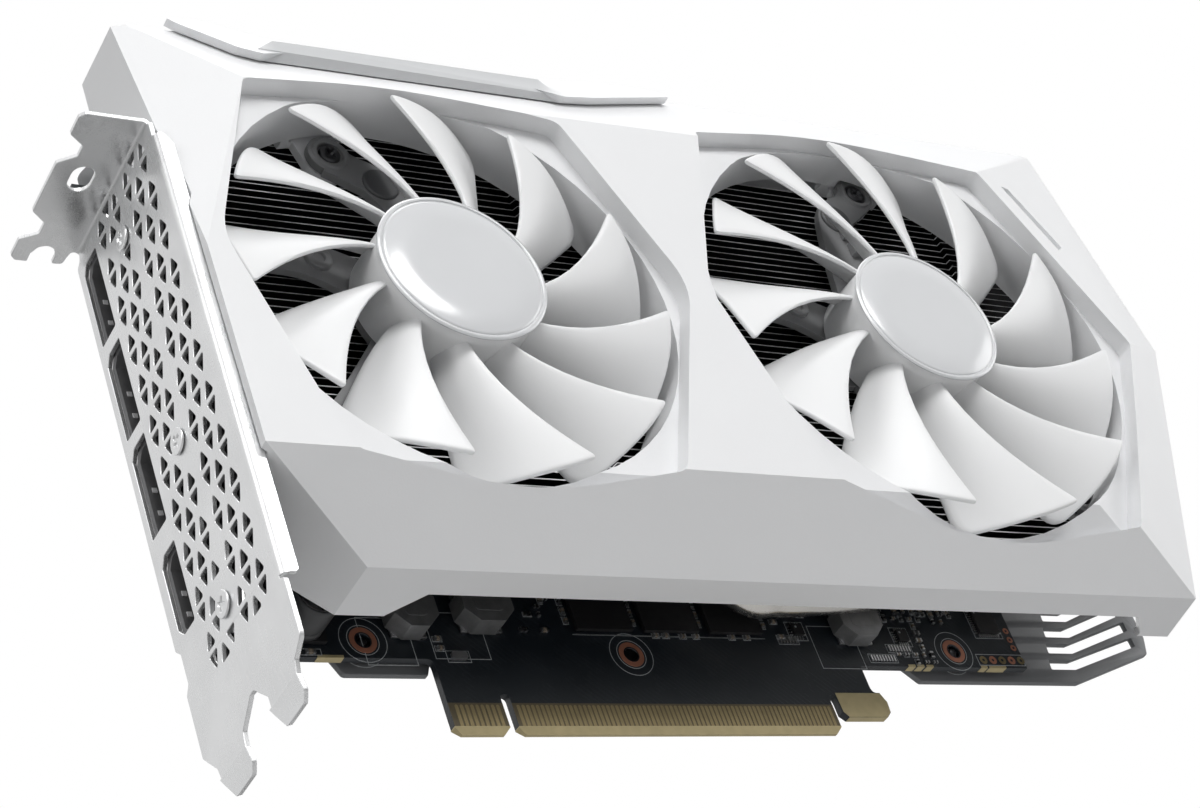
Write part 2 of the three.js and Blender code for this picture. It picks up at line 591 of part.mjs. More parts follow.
function buildPort({ z0, z1, hdmi }) {
  const y0 = hdmi ? -4.9 : -4.3;
  const y1 = hdmi ? 0.9 : 1.7;
  const c = 1.7;
  const corners = hdmi
    ? [[y0, z0], [y1 - c, z0], [y1, z0 + c], [y1, z1 - c], [y1 - c, z1], [y0, z1]]
    : [[y0, z0], [y1, z0], [y1, z1 - c], [y1 - c, z1], [y0, z1]];
  const middle = [(y0 + y1) / 2, (z0 + z1) / 2];
  const shrink = 0.5;
  const mouth = corners.map(([y, z]) => [
    y - Math.sign(y - middle[0]) * shrink,
    z - Math.sign(z - middle[1]) * shrink,
  ]);
  const body = toSolid(extrudeX(outline(corners), BOARD_LEFT_X, PORT_DEPTH_X));
  const cavity = toSolid(extrudeX(outline(mouth), BOARD_LEFT_X - 1, PORT_DEPTH_X - 3));
  const tongueY = hdmi ? -1.6 : -0.9;
  const tongue = box(BOARD_LEFT_X + 1.5, PORT_DEPTH_X - 2, tongueY - 0.6, tongueY + 0.6, z0 + 2.4, z1 - 2.6);
  return join(cut(body, cavity), toSolid(tongue));
}

function chip(x0, z0, width, height, front, chamfer = 0) {
  const [x1, z1] = [x0 + width, z0 + height];
  const c = chamfer;
  const corners = c
    ? [[x0 + c, z0], [x1 - c, z0], [x1, z0 + c], [x1, z1 - c], [x1 - c, z1], [x0 + c, z1], [x0, z1 - c],
      [x0, z0 + c]]
    : [[x0, z0], [x1, z0], [x1, z1], [x0, z1]];
  return extrudeY(outline(corners), front, -GAP);
}

const MEMORY = [[78.4, 21.7], [93.5, 21.7], [108.6, 21.7], [130, 38], [130, 54], [130, 70]];
const INDUCTORS = [[38.4, 18.9, 9, 9, -5], [53, 20.4, 10.4, 9, -5], [139, 19.6, 10, 9, -4.4]];
const INDUCTOR_CHAMFER = 2.6;

function buildPowerConnector() {
  const shell = toSolid(box(146, 166, -10.9, -GAP, 119.5, 131));
  const cells = [];
  for (let i = 0; i < 4; i += 1) {
    for (let j = 0; j < 2; j += 1) {
      const x = 148 + i * 4.2;
      const y = -10 + j * 4.6;
      cells.push(toSolid(box(x, x + 3.4, y, y + 3.6, 121.5, 132)));
    }
  }
  return cut(shell, ...cells);
}

function buildElectronics() {
  place(group, 'circuit_board', toGeometry(buildBoard()), boardLaminate);
  PORTS.forEach((port) => {
    const finish = port.hdmi ? nickel : darkPlastic;
    place(group, port.name, toGeometry(buildPort(port)), finish);
  });
  place(group, 'processor_package', chip(80, 44, 40, 40, -1.5), boardLaminate);
  place(group, 'processor_die', box(88, 112, -2.6, -1.8, 53, 75), silicon);
  MEMORY.forEach(([x, z], i) => {
    const [w, h] = i < 3 ? [12.6, 14] : [14, 12.6];
    place(group, `memory_chip_${i + 1}`, chip(x, z, w, h, -1.4), chipBlack);
  });
  INDUCTORS.forEach(([x, z, w, h, front], i) => {
    place(group, `inductor_${i + 1}`, chip(x, z, w, h, front, INDUCTOR_CHAMFER), ferrite);
  });
  place(group, 'capacitor', discY(22, 22, 4.2, -9, -GAP, 20), blackPlastic);
  place(group, 'power_connector', toGeometry(buildPowerConnector()), blackPlastic);
}

// ---------------------------------------------------------------- slot bracket

const BRACKET_SCREWS = [[-15, 94.6], [-15.2, 48.3], [-15.5, 14.7]];
const VENT_PITCH_Z = 9.06;
const VENT_HALF_WIDTH = 1.4;
const VENT_HEIGHT = 2.9;
const VENT_BAR = 0.55; // from the middle of a diamond to each half's base

// Each vent is a diamond split into an upper and a lower triangle.
function ventTriangles() {
  const triangles = [];
  const columns = [[-8.1, 0], [-11.75, 1], [-15.3, 0], [-21, 0], [-24.75, 1], [-28.5, 0]];
  columns.forEach(([y, offset]) => {
    const top = offset ? 106.02 : 101.5;
    for (let row = 0; row < 12; row += 1) {
      const z = top - row * VENT_PITCH_Z;
      [1, -1].forEach((side) => {
        const middle = z + side * (VENT_BAR + VENT_HEIGHT / 2);
        const nearScrew = BRACKET_SCREWS.some(([sy, sz]) => Math.hypot(sy - y, sz - middle) < 3.6);
        if (middle > 105.2 || middle < 7.2 || nearScrew) return;
        triangles.push([
          [y - VENT_HALF_WIDTH, z + side * VENT_BAR],
          [y + VENT_HALF_WIDTH, z + side * VENT_BAR],
          [y, z + side * (VENT_BAR + VENT_HEIGHT)],
        ]);
      });
    }
  });
  return triangles;
}

function buildBracket() {
  const near = BRACKET_NEAR_Y;
  const far = BRACKET_FAR_Y;
  const foldZ = -8.9;
  const face = outline([
    [near + 1.2, TAB_TOP_Z], [far - 2, TAB_TOP_Z], [far - 1.6, 104.4], [far, 103.4], [far, 18.5],
    [far - 1.5, 17], [far - 1.5, 11.2], [far, 9.7], [far, -2.4], [0.1, -6.6], [-0.4, foldZ],
    [-10.4, foldZ], [-10.8, -6.4], [-15.8, -3], [-17.2, -3], [-20.8, -6.6], [-20.9, foldZ],
    [-30.7, foldZ], [-31.4, -6.6], [near, -4.5], [near, 6.2], [near + 1.2, 6.4], [near + 1.2, 7.2],
    [near, 7.4], [near, 102],
  ]);
  const windows = ventTriangles().map(outline);
  PORTS.forEach(({ z0, z1, hdmi }) => {
    const c = 1.9;
    const y0 = hdmi ? -5.1 : -4.5;
    const y1 = hdmi ? 1.1 : 1.9;
    const corners = hdmi
      ? [[y0, z0 - 0.2], [y1 - c, z0 - 0.2], [y1, z0 + c], [y1, z1 - c], [y1 - c, z1 + 0.2], [y0, z1 + 0.2]]
      : [[y0, z0 - 0.2], [y1, z0 - 0.2], [y1, z1 - c], [y1 - c, z1 + 0.2], [y0, z1 + 0.2]];
    windows.push(outline(corners));
  });
  const cutters = windows.map((window) => extrudeX(window, -1, 2));
  cutters.push(...BRACKET_SCREWS.map(([y, z]) => discX(y, z, 1.9, -1, 2, 16)));
  const plate = cut(toSolid(extrudeX(face, 0, STEEL)), ...cutters.map(toSolid));

  // Screw tab, folded away from the card: two notches, a closed slot and an open slot.
  const tab = outline([
    [STEEL, near + 1.8], [-11.2, near + 1.8], [-12.2, near + 2.8], [-12.2, -27.6], [-9, -25.2],
    [-9, -22.6], [-12.2, -20.4], [-12.2, -7.6], [-9, -4.9], [-9, -2.1], [-12.2, -0.2], [-12.2, 4.4],
    [-11.2, 5.4], [-8.75, 5.4], [-8.75, 3.15], [-7.9, 1.4], [-6.4, 0.8], [-4.9, 1.4], [-4.05, 3.15],
    [-4.05, 5.4], [-2, 5.2], [-1.4, far - 2], [STEEL, far - 2],
  ]);
  const slot = new THREE.Path();
  slot.absarc(-6.4, 3.15 - SLOT_PITCH + 0.95, 2.2, 0, Math.PI, false);
  slot.absarc(-6.4, 3.15 - SLOT_PITCH - 0.95, 2.2, Math.PI, Math.PI * 2, false);
  tab.holes.push(slot);
  const flap = toSolid(extrudeZ(tab, TAB_TOP_Z - STEEL, TAB_TOP_Z, 6));

  // Stiffening flange along the near edge.
  const flange = outline([
    [0, 7.4], [FLANGE_DEPTH - 0.6, 7.4], [FLANGE_DEPTH, 8], [FLANGE_DEPTH, 99.8], [1.6, 102], [0, 102],
  ]);
  const rim = toSolid(extrudeY(flange, near, near + STEEL));

  // Locating prongs, bent towards the card.
  const prong = outline([[-0.3, 0.5], [-0.3, -1.2], [-2, -4.4], [-8.6, -4.4], [-10.1, -2.9], [-10.2, 0.5]]);
  const prongs = [0, -SLOT_PITCH].map((shift) => {
    const tip = extrudeX(prong, 0, STEEL).rotateY(-0.2).translate(0, shift - 0.2, foldZ);
    return toSolid(tip);
  });
  return join(plate, flap, rim, ...prongs);
}

// A small angle on the board, which the lowest bracket screw threads into.
function buildFoot() {
  const [y, z] = BRACKET_SCREWS[2];
  const web = toSolid(box(STEEL + GAP, 2.4, -18.8, -GAP, 11.4, 18.6));
  const leg = toSolid(box(STEEL + GAP, 12, -1.5, -GAP, 15.6, 18.6));
  return cut(join(web, leg), toSolid(discX(y, z, 1.6, 0, 4, 12)));
}

function buildBracketParts() {
  place(group, 'slot_bracket', toGeometry(buildBracket()), steel);
  place(group, 'bracket_foot', toGeometry(buildFoot()), steel);
  BRACKET_SCREWS.forEach(([y, z], i) => {
    const length = i < 2 ? 7 : 3.4;
    const screw = place(group, `bracket_screw_${i + 1}`, screwGeometry(2.4, 1.25, length, 0.4), steel);
    screw.rotation.z = Math.PI / 2;
    screw.position.set(-GAP, y, z);
  });
}

// ---------------------------------------------------------------- backplate

const PLATE_SCREWS = BOARD_HOLES.filter(([x]) => x !== 89.4); // one hole holds nothing

function buildBackplate() {
  const shape = outline([
    [8, 24], [16, 18], [28, 18], [30.1, 14], [46.8, 14], [48.3, 17.4], [157, 17.4], [160.3, 14],
    [203.4, 14], [227.9, 21.6], [229.4, 25.9], [229.4, 128], [222, 134], [10, 134], [5, 128], [5, 30],
  ]);
  const slots = [0, 1, 2, 3].map((i) => {
    const z = 18.5 + i * 4.1;
    const left = 197.6 + i * 1.35;
    const knee = 204.4 + i * 1.3;
    const half = 1.05;
    return outline([
      [left, z - half], [knee, z - half], [225.4, z - half + 6.3], [225.4, z + half + 6.3],
      [knee - 0.3, z + half], [left + 0.3, z + half],
    ]);
  });
  shape.holes = [...slots, ...PLATE_SCREWS.map(([x, z]) => circlePath(x, z, 1.6))];
  return extrudeY(shape, PLATE_FRONT_Y, PLATE_BACK_Y, 5);
}

function buildRearParts() {
  place(group, 'backplate', buildBackplate(), backplateMetal);
  const brace = outline([[80, 44], [86, 44], [100, 57], [114, 44], [120, 44], [120, 50], [107, 64], [120, 78],
    [120, 84], [114, 84], [100, 71], [86, 84], [80, 84], [80, 78], [93, 64], [80, 50]]);
  place(group, 'retention_plate', extrudeY(brace, BOARD_THICKNESS + GAP, PLATE_FRONT_Y - GAP), steel);
  PLATE_SCREWS.forEach(([x, z], i) => {
    const screw = place(group, `backplate_screw_${i + 1}`, screwGeometry(2.4, 1.2, 4.6, 0.6), steel);
    screw.position.set(x, PLATE_BACK_Y + GAP, z);
  });
}

// ---------------------------------------------------------------- assembly

place(group, 'shroud', toGeometry(buildShroud()), whitePlastic);
place(group, 'top_trim', toGeometry(buildTopTrim()), greyTrim);
FANS.forEach(buildFan);
buildHeatsink();
buildElectronics();
buildBracketParts();
buildRearParts();

export default group;
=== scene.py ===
"""The looks of a dual-fan graphics card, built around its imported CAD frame.

Shapes are drawn in millimetres in the part's own frame: x runs along the card away from the slot
bracket, -y points out of the fans and z points up from the edge connector. make() turns them into metres.
"""
import math
import random

import bmesh
import bpy
from mathutils import Matrix, Vector


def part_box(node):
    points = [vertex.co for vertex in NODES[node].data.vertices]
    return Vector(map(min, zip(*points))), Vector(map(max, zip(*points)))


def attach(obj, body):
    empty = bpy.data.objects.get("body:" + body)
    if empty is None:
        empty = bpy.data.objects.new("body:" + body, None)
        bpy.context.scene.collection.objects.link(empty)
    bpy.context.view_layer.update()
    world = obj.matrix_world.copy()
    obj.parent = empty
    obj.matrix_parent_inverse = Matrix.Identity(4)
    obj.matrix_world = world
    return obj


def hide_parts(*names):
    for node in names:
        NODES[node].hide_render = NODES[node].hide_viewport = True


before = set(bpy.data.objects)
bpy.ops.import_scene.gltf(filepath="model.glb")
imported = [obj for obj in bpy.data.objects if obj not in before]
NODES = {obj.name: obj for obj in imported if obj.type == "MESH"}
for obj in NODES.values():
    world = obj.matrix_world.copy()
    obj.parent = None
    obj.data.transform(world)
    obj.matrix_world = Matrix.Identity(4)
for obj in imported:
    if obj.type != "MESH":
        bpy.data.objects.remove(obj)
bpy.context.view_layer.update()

MM = 0.001
TINY = 1e-6


def cad_box(node):
    """Lowest and highest corner of a CAD node, in millimetres."""
    low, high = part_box(node)
    return low / MM, high / MM


# ---------------------------------------------------------------- driving dimensions

FAN_NAMES = ("fan_left", "fan_right")
SIDE = {"fan_left": "left", "fan_right": "right"}
CENTRES = {}
for _fan in FAN_NAMES:
    _low, _high = cad_box(_fan + "_hub_cap")
    CENTRES[_fan] = ((_low.x + _high.x) / 2, (_low.z + _high.z) / 2)
TIPS = {"fan_left": 44.4, "fan_right": 49.4}
EAR_RADII = {"fan_left": 40.3, "fan_right": 49.0}
EAR_ANGLES = {"fan_left": 105, "fan_right": 76}
BLADE_COUNT = 11
BLADE_ROOT = 15.6
BLADE_THICKNESS = 1.2
FIRST_TIP_ANGLES = {"fan_left": -5.5, "fan_right": -3.5}
CAP_FACE_Y = -36.8
CAP_BACK_Y = -35.7
CAP_RADIUS = 17.1
HUB_RADIUS = 16.6
HUB_FRONT_Y = -35.4
HUB_ROOF_Y = -33.6
HUB_BACK_Y = -23.5
FRAME_FRONT_Y = -22.9
FRAME_BACK_Y = -21.0
BOARD_BACK_Y = 1.57
SHEET = 0.86
BRACKET_NEAR_Y = -34.85
BRACKET_FAR_Y = 3.86
TAB_TOP_Z = 106.77
PORTS = (  # CAD node, lowest and highest z, and whether both of its inner corners are cut
    ("display_port_1", 83.4, 101.6, False),
    ("display_port_2", 61.8, 80.0, False),
    ("display_port_3", 40.3, 58.5, False),
    ("video_port", 19.3, 35.0, True),
)
BRACKET_SCREWS = ((-15, 94.6), (-15.2, 48.3), (-15.5, 14.7))  # y, z
PLATE_SCREWS = ((33.8, 19.1), (169.2, 19.3), (178, 112), (30, 112))  # x, z
SPARE_HOLE = (89.4, 17.1)


# ---------------------------------------------------------------- shapes

class Shape:
    """Points in millimetres and faces, each with the number of its look."""

    def __init__(self):
        self.points = []
        self.faces = []
        self.looks = []

    def face(self, corners, look=0):
        self.faces.append(tuple(corners))
        self.looks.append(look)

    def loft(self, rows, look=0, caps=True, closed=False):
        """Joins closed rows of points, one after another. A row of one point is a tip."""
        starts = []
        for row in rows:
            starts.append(len(self.points))
            self.points.extend(Vector(p) for p in row)
        ends = list(zip(starts, [len(row) for row in rows]))
        for (a, na), (b, nb) in zip(ends, ends[1:] + ends[:1] * closed):
            for k in range(max(na, nb)):
                if na == 1:
                    self.face((a, b + (k + 1) % nb, b + k), look)
                elif nb == 1:
                    self.face((a + k, a + (k + 1) % na, b), look)
                else:
                    self.face((a + k, a + (k + 1) % na, b + (k + 1) % nb, b + k), look)
        if caps and not closed:
            for start, count in (ends[0], ends[-1]):
                if count > 2:
                    self.face(range(start, start + count), look)
        return self

    def lathe(self, profile, steps=48, look=0, centre=(0, 0), closed=False):
        """Turned about a line along y through centre, from (radius, y) pairs."""
        rows = [circle(r, y, steps if r > TINY else 1, centre) for r, y in profile]
        return self.loft(rows, look, closed=closed)

    def prism(self, outline, low, high, plane="xz", look=0):
        """A flat outline drawn out between two values of the third axis."""
        rows = [[spot(plane, a, b, h) for a, b in outline] for h in (low, high)]
        return self.loft(rows, look)

    def box(self, x0, x1, y0, y1, z0, z1, look=0):
        return self.prism(rect(x0, x1, z0, z1), y0, y1, "xz", look)

    def tube(self, path, radius, sides=12, look=0, tips=True):
        """A round bar along a line of points, with rounded ends."""
        path = [Vector(p) for p in path]
        rows = []
        up = Vector((0, 1, 0))
        for i, point in enumerate(path):
            ahead = path[min(i + 1, len(path) - 1)] - path[max(i - 1, 0)]
            ahead.normalize()
            side = ahead.cross(up)
            if side.length < 1e-4:
                side = ahead.cross(Vector((1, 0, 0)))
            side.normalize()
            over = side.cross(ahead)
            ring = [point + side * a + over * b for a, _, b in circle(radius, 0, sides)]
            if tips and i == 0:
                rows += tip_rings(ring, point, -ahead, radius)[::-1]
            rows.append(ring)
            if tips and i == len(path) - 1:
                rows += tip_rings(ring, point, ahead, radius)
        return self.loft(rows, look)

    def add(self, other, matrix=Matrix()):
        start = len(self.points)
        self.points.extend(matrix @ p for p in other.points)
        for corners, look in zip(other.faces, other.looks):
            self.face([start + c for c in corners], look)
        return self


def tip_rings(ring, centre, ahead, radius):
    rows = []
    for turn in (30, 60):
        c, s = math.cos(math.radians(turn)), math.sin(math.radians(turn))
        rows.append([centre + (p - centre) * c + ahead * radius * s for p in ring])
    rows.append([centre + ahead * radius])
    return rows


def circle(radius, y, steps, centre=(0, 0)):
    """A ring of points about a line along y; one step gives a point on the line if radius is 0."""
    turns = [2 * math.pi * k / steps for k in range(steps)]
    return [(centre[0] + radius * math.cos(t), y, centre[1] + radius * math.sin(t)) for t in turns]


def rect(a0, a1, b0, b1):
    return [(a0, b0), (a1, b0), (a1, b1), (a0, b1)]


def pill(a0, a1, b0, b1, radius, steps=4):
    """A rectangle with rounded corners."""
    return rounded(rect(a0, a1, b0, b1), radius, steps)


def spot(plane, a, b, h):
    """The point at (a, b) in a plane, at height h along its third axis."""
    return {"xz": (a, h, b), "yz": (h, a, b), "xy": (a, b, h)}[plane]


def arc(a, b, radius, start, end, steps=10):
    """Points on an arc in a plane; angles in degrees."""
    turns = [math.radians(start + (end - start) * i / steps) for i in range(steps + 1)]
    return [(a + radius * math.cos(t), b + radius * math.sin(t)) for t in turns]


def ring_line(a, b, radius):
    return arc(a, b, radius, 0, 360, 24)[:-1]


def rounded(corners, radius=1.0, steps=4):
    """A closed outline with each corner (a, b) or (a, b, its own radius) rounded."""
    out = []
    count = len(corners)
    for i, corner in enumerate(corners):
        here = Vector(corner[:2])
        before = Vector(corners[i - 1][:2]) - here
        after = Vector(corners[(i + 1) % count][:2]) - here
        wanted = corner[2] if len(corner) > 2 else radius
        angle = before.angle(after)
        if wanted <= 0 or angle > math.radians(177):
            out.append(tuple(here))
            continue
        reach = min(wanted / math.tan(angle / 2), before.length * 0.49, after.length * 0.49)
        fit = reach * math.tan(angle / 2)
        halfway = (before.normalized() + after.normalized()).normalized()
        centre = here + halfway * (fit / math.sin(angle / 2))
        first = here + before.normalized() * reach - centre
        last = here + after.normalized() * reach - centre
        turn = first.angle_signed(last)
        for k in range(steps + 1):
            t = -turn * k / steps
            c, s = math.cos(t), math.sin(t)
            out.append((centre.x + first.x * c - first.y * s, centre.y + first.x * s + first.y * c))
    return out


def smooth_route(points, per=8):
    """A curve through points, for pipes and wires."""
    pts = [Vector(p) for p in points]
    pts = [pts[0] * 2 - pts[1]] + pts + [pts[-1] * 2 - pts[-2]]
    out = []
    for i in range(1, len(pts) - 2):
        p0, p1, p2, p3 = pts[i - 1:i + 3]
        for k in range(per):
            t = k / per
            out.append(0.5 * ((2 * p1) + (p2 - p0) * t + (2 * p0 - 5 * p1 + 4 * p2 - p3) * t * t
                              + (3 * p1 - p0 - 3 * p2 + p3) * t ** 3))
    return out + [pts[-2]]


def sheet(loops, low, high, plane, edge):
    """A flat sheet with holes, as a Shape: the first loop is its outline, and its edges are bevelled."""
    curve = bpy.data.curves.new("sheet", "CURVE")
    curve.dimensions = "2D"
    curve.fill_mode = "BOTH"
    curve.extrude = max((high - low) / 2 - edge, 1e-4)
    curve.bevel_depth = edge
    curve.bevel_resolution = 1 if edge > 0.2 else 0
    curve.offset = -edge
    for loop in loops:
        line = curve.splines.new("POLY")
        line.points.add(len(loop) - 1)
        for point, (a, b) in zip(line.points, loop):
            point.co = (a, b, 0, 1)
        line.use_cyclic_u = True
    holder = bpy.data.objects.new("sheet", curve)
    bpy.context.scene.collection.objects.link(holder)
    bpy.context.view_layer.update()
    depsgraph = bpy.context.evaluated_depsgraph_get()
    made = bpy.data.meshes.new_from_object(holder.evaluated_get(depsgraph))
    middle = (low + high) / 2
    shape = Shape()
    places = {}
    index = []
    for vertex in made.vertices:
        point = Vector(spot(plane, vertex.co.x, vertex.co.y, vertex.co.z + middle))
        key = tuple(round(c, 3) for c in point)
        if key not in places:
            places[key] = len(shape.points)
            shape.points.append(point)
        index.append(places[key])
    for polygon in made.polygons:
        corners = list(dict.fromkeys(index[v] for v in polygon.vertices))
        if len(corners) > 2:
            shape.face(corners)
    bpy.data.objects.remove(holder)
    bpy.data.curves.remove(curve)
    bpy.data.meshes.remove(made)
    return shape


def turned_to(angle=0.0, at=(0, 0, 0), axis="Y"):
    return Matrix.Translation(at) @ Matrix.Rotation(math.radians(angle), 4, axis)


# ---------------------------------------------------------------- pieces

class Tree:
    """Adds nodes to a node tree."""

    def __init__(self, tree):
        self.tree = tree
        tree.nodes.clear()

    def node(self, kind, inputs=None, **settings):
        made = self.tree.nodes.new(kind)
        for key, value in settings.items():
            setattr(made, key, value)
        for key, value in (inputs or {}).items():
            self.put(made.inputs[key], value)
        return made

    def put(self, socket, value):
        if isinstance(value, bpy.types.NodeSocket):
            self.tree.links.new(value, socket)
        else:
            socket.default_value = value

    def math(self, operation, a, b=0.0, c=0.0):
        return self.node("ShaderNodeMath", {0: a, 1: b, 2: c}, operation=operation).outputs[0]

    def ramp(self, fac, low, high, a=0.0, b=1.0):
        """a below low, b above high, and a straight line between."""
        limits = {"Value": fac, "From Min": low, "From Max": high, "To Min": a, "To Max": b}
        return self.node("ShaderNodeMapRange", limits).outputs["Result"]


def smoothing(limit):
    """A modifier group that shades smooth, creased where faces meet at more than limit degrees."""
    name = "smooth_by_%d" % limit
    if name in bpy.data.node_groups:
        return bpy.data.node_groups[name]
    group = Tree(bpy.data.node_groups.new(name, "GeometryNodeTree"))
    for way in ("INPUT", "OUTPUT"):
        group.tree.interface.new_socket("Geometry", in_out=way, socket_type="NodeSocketGeometry")
    whole = group.node("NodeGroupInput").outputs[0]
    smooth = {"Geometry": whole, "Shade Smooth": True}
    faces = group.node("GeometryNodeSetShadeSmooth", smooth, domain="FACE").outputs[0]
    angle = group.node("GeometryNodeInputMeshEdgeAngle").outputs["Unsigned Angle"]
    over = group.node("FunctionNodeCompare", {"A": angle, "B": math.radians(limit)},
                      data_type="FLOAT", operation="GREATER_THAN").outputs["Result"]
    sharp = {"Geometry": faces, "Selection": over, "Shade Smooth": False}
    edges = group.node("GeometryNodeSetShadeSmooth", sharp, domain="EDGE").outputs[0]
    group.node("NodeGroupOutput", {0: edges})
    return group.tree


def polish(obj, bevel=0.0, limit=35):
    """Rounded edges of bevel millimetres and smooth shading, as modifiers."""
    if bevel:
        rim = obj.modifiers.new("rim", "BEVEL")
        rim.width = bevel * MM
        rim.segments = 2
        rim.limit_method = "ANGLE"
        rim.angle_limit = math.radians(limit)
        rim.use_clamp_overlap = True
        rim.miter_outer = "MITER_SHARP"
    shade = obj.modifiers.new("shade", "NODES")
    shade.node_group = smoothing(limit)
    if bevel:
        normals = obj.modifiers.new("normals", "WEIGHTED_NORMAL")
        normals.keep_sharp = True


def make(name, shape, body, looks, stands_for, slot, bevel=0.0, limit=35):
    """Turns a Shape into a piece that rides on a body and stands for CAD nodes."""
    mesh = bpy.data.meshes.new(name)
    mesh.from_pydata([tuple(p * MM) for p in shape.points], [], shape.faces)
    mesh.validate()
    mesh.update()
    looks = looks if isinstance(looks, (list, tuple)) else [looks]
    for look in looks:
        mesh.materials.append(look)
    if len(looks) > 1:
        mesh.polygons.foreach_set("material_index", shape.looks[:len(mesh.polygons)])
    face_outwards(mesh)
    obj = bpy.data.objects.new(name, mesh)
    bpy.context.scene.collection.objects.link(obj)
    polish(obj, bevel, limit)
    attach(obj, body)
    if stands_for:
        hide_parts(*stands_for)


def face_outwards(mesh):
    work = bmesh.new()
    work.from_mesh(mesh)
    bmesh.ops.remove_doubles(work, verts=work.verts, dist=1e-7)
    bmesh.ops.recalc_face_normals(work, faces=work.faces)
    work.to_mesh(mesh)
    work.free()


def dress(node, look, bevel, limit):
    """Keeps a CAD node as it is: merges its triangles into flat faces, rounds its edges and paints it."""
    obj = NODES[node]
    weld = obj.modifiers.new("weld", "WELD")
    weld.merge_threshold = 0.002 * MM
    flat = obj.modifiers.new("flat", "DECIMATE")
    flat.decimate_type = "DISSOLVE"
    flat.angle_limit = math.radians(0.6)
    polish(obj, bevel, limit)
    obj.data.materials.clear()
    obj.data.materials.append(look)


# ---------------------------------------------------------------- looks

class Look(Tree):
    """A node-based material. Lengths are in millimetres."""

    def __init__(self, name, colour, roughness, metallic=0.0):
        self.material = bpy.data.materials.new(name)
        self.material.use_nodes = True
        super().__init__(self.material.node_tree)
        self.shader = self.node("ShaderNodeBsdfPrincipled")
        self.node("ShaderNodeOutputMaterial", {0: self.shader.outputs[0]})
        self.place = self.node("ShaderNodeTexCoord").outputs["Object"]
        self.colour = (*colour, 1)
        self.roughness = roughness
        self.metallic = metallic
        self.heights = []
        self.material.diffuse_color = (*colour, 1)

    def stretch(self, x, y, z):
        scaled = {"Vector": self.place, "Scale": (x, y, z)}
        return self.node("ShaderNodeMapping", scaled).outputs[0]

    def noise(self, size, detail=3.0, vector=None):
        """Cloudy noise whose patches are about size millimetres."""
        return self.node("ShaderNodeTexNoise", {
            "Vector": vector or self.place, "Scale": 1 / (size * MM), "Detail": detail,
            "Roughness": 0.55}).outputs["Fac"]

    def tint(self, fac, colour):
        made = self.node("ShaderNodeMix", {"Factor": fac}, data_type="RGBA")
        self.put(made.inputs[6], self.colour)
        self.put(made.inputs[7], (*colour, 1))
        self.colour = made.outputs[2]
        return self

    def dim(self, share):
        """Multiplies the colour."""
        scaled = self.colour if isinstance(self.colour, bpy.types.NodeSocket) else self.colour[:3]
        made = self.node("ShaderNodeVectorMath", {0: scaled, "Scale": share}, operation="SCALE")
        self.colour = made.outputs[0]
        return self

    def mottle(self, size, amount):
        """Slow uneven brightness."""
        return self.dim(self.ramp(self.noise(size), 0.3, 0.7, 1 - amount, 1 + amount))

    def uneven(self, size, amount):
        """Slow uneven roughness."""
        shift = self.ramp(self.noise(size, 4.0), 0.3, 0.7, -amount, amount)
        self.roughness = self.math("ADD", self.roughness, shift)
        return self

    def bump(self, fac, depth):
        """fac 0 to 1 raises the surface by up to depth millimetres."""
        self.heights.append((fac, depth))
        return self

    def grain(self, size, depth):
        return self.bump(self.noise(size, 2.0), depth)

    def painted_edge_highlight(self, radius, patches, low, high):
        """1 on patches along the edges, where a lighter tint paints a highlight."""
        return self.math("MULTIPLY", self.edges(radius), self.ramp(self.noise(patches), low, high))

    def edges(self, radius):
        """1 along edges, 0 on open faces."""
        soft = self.node("ShaderNodeBevel", {"Radius": radius * MM}, samples=4).outputs[0]
        true = self.node("ShaderNodeNewGeometry").outputs["Normal"]
        dot = self.node("ShaderNodeVectorMath", {0: soft, 1: true}, operation="DOT_PRODUCT")
        return self.ramp(dot.outputs["Value"], 1.0, 0.94)

    def done(self, **extra):
        normal = None
        for fac, depth in self.heights:
            raised = {"Height": fac, "Strength": 1.0, "Distance": depth * MM}
            if normal:
                raised["Normal"] = normal
            normal = self.node("ShaderNodeBump", raised).outputs[0]
        if normal:
            extra["normal"] = normal
        extra.update(base_color=self.colour, roughness=self.roughness, metallic=self.metallic)
        for key, value in extra.items():
            self.put(self.shader.inputs[key.replace("_", " ").title()], value)
        return self.material


def moulded(name, colour, roughness, grain=0.012, coat=0.0):
    """Satin moulded plastic: fine spark-eroded grain, slow sink marks, and edges that are glossier and tinted
    lighter as a painted highlight.
    """
    look = Look(name, colour, roughness).mottle(45, 0.012).uneven(12, 0.05)
    look.grain(0.35, grain).grain(18, 0.02)
    edge_gloss_and_highlight = look.painted_edge_highlight(0.45, 2.5, 0.35, 0.65)
    look.roughness = look.math("SUBTRACT", look.roughness, look.math("MULTIPLY", edge_gloss_and_highlight, 0.12))
    # Painted highlight: the edges are tinted lighter, as if they caught the light.
    look.tint(look.math("MULTIPLY", edge_gloss_and_highlight, 0.25), tuple(min(1, c * 1.06) for c in colour))
    dust = look.ramp(look.noise(0.9, 5.0), 0.66, 0.78, 0, 0.06)
    look.tint(dust, tuple(c * 0.7 for c in colour))
    return look.done(coat_weight=coat, coat_roughness=0.12)


def trim_plastic():
    """Satin plastic, grey over the ridge in the middle of the trim and white along its arms."""
    look = Look("grey_trim", (0.80, 0.805, 0.815), 0.4).mottle(45, 0.012).uneven(12, 0.05)
    x = look.node("ShaderNodeSeparateXYZ", {0: look.place}).outputs["X"]
    inside = look.math("MULTIPLY", look.ramp(x, 26 * MM, 31 * MM), look.ramp(x, 95 * MM, 90 * MM))
    look.tint(inside, (0.56, 0.57, 0.58))
    look.grain(0.35, 0.01).grain(18, 0.02)
    look.roughness = look.math("SUBTRACT", look.roughness, look.math("MULTIPLY", look.edges(0.45), 0.08))
    return look.done()


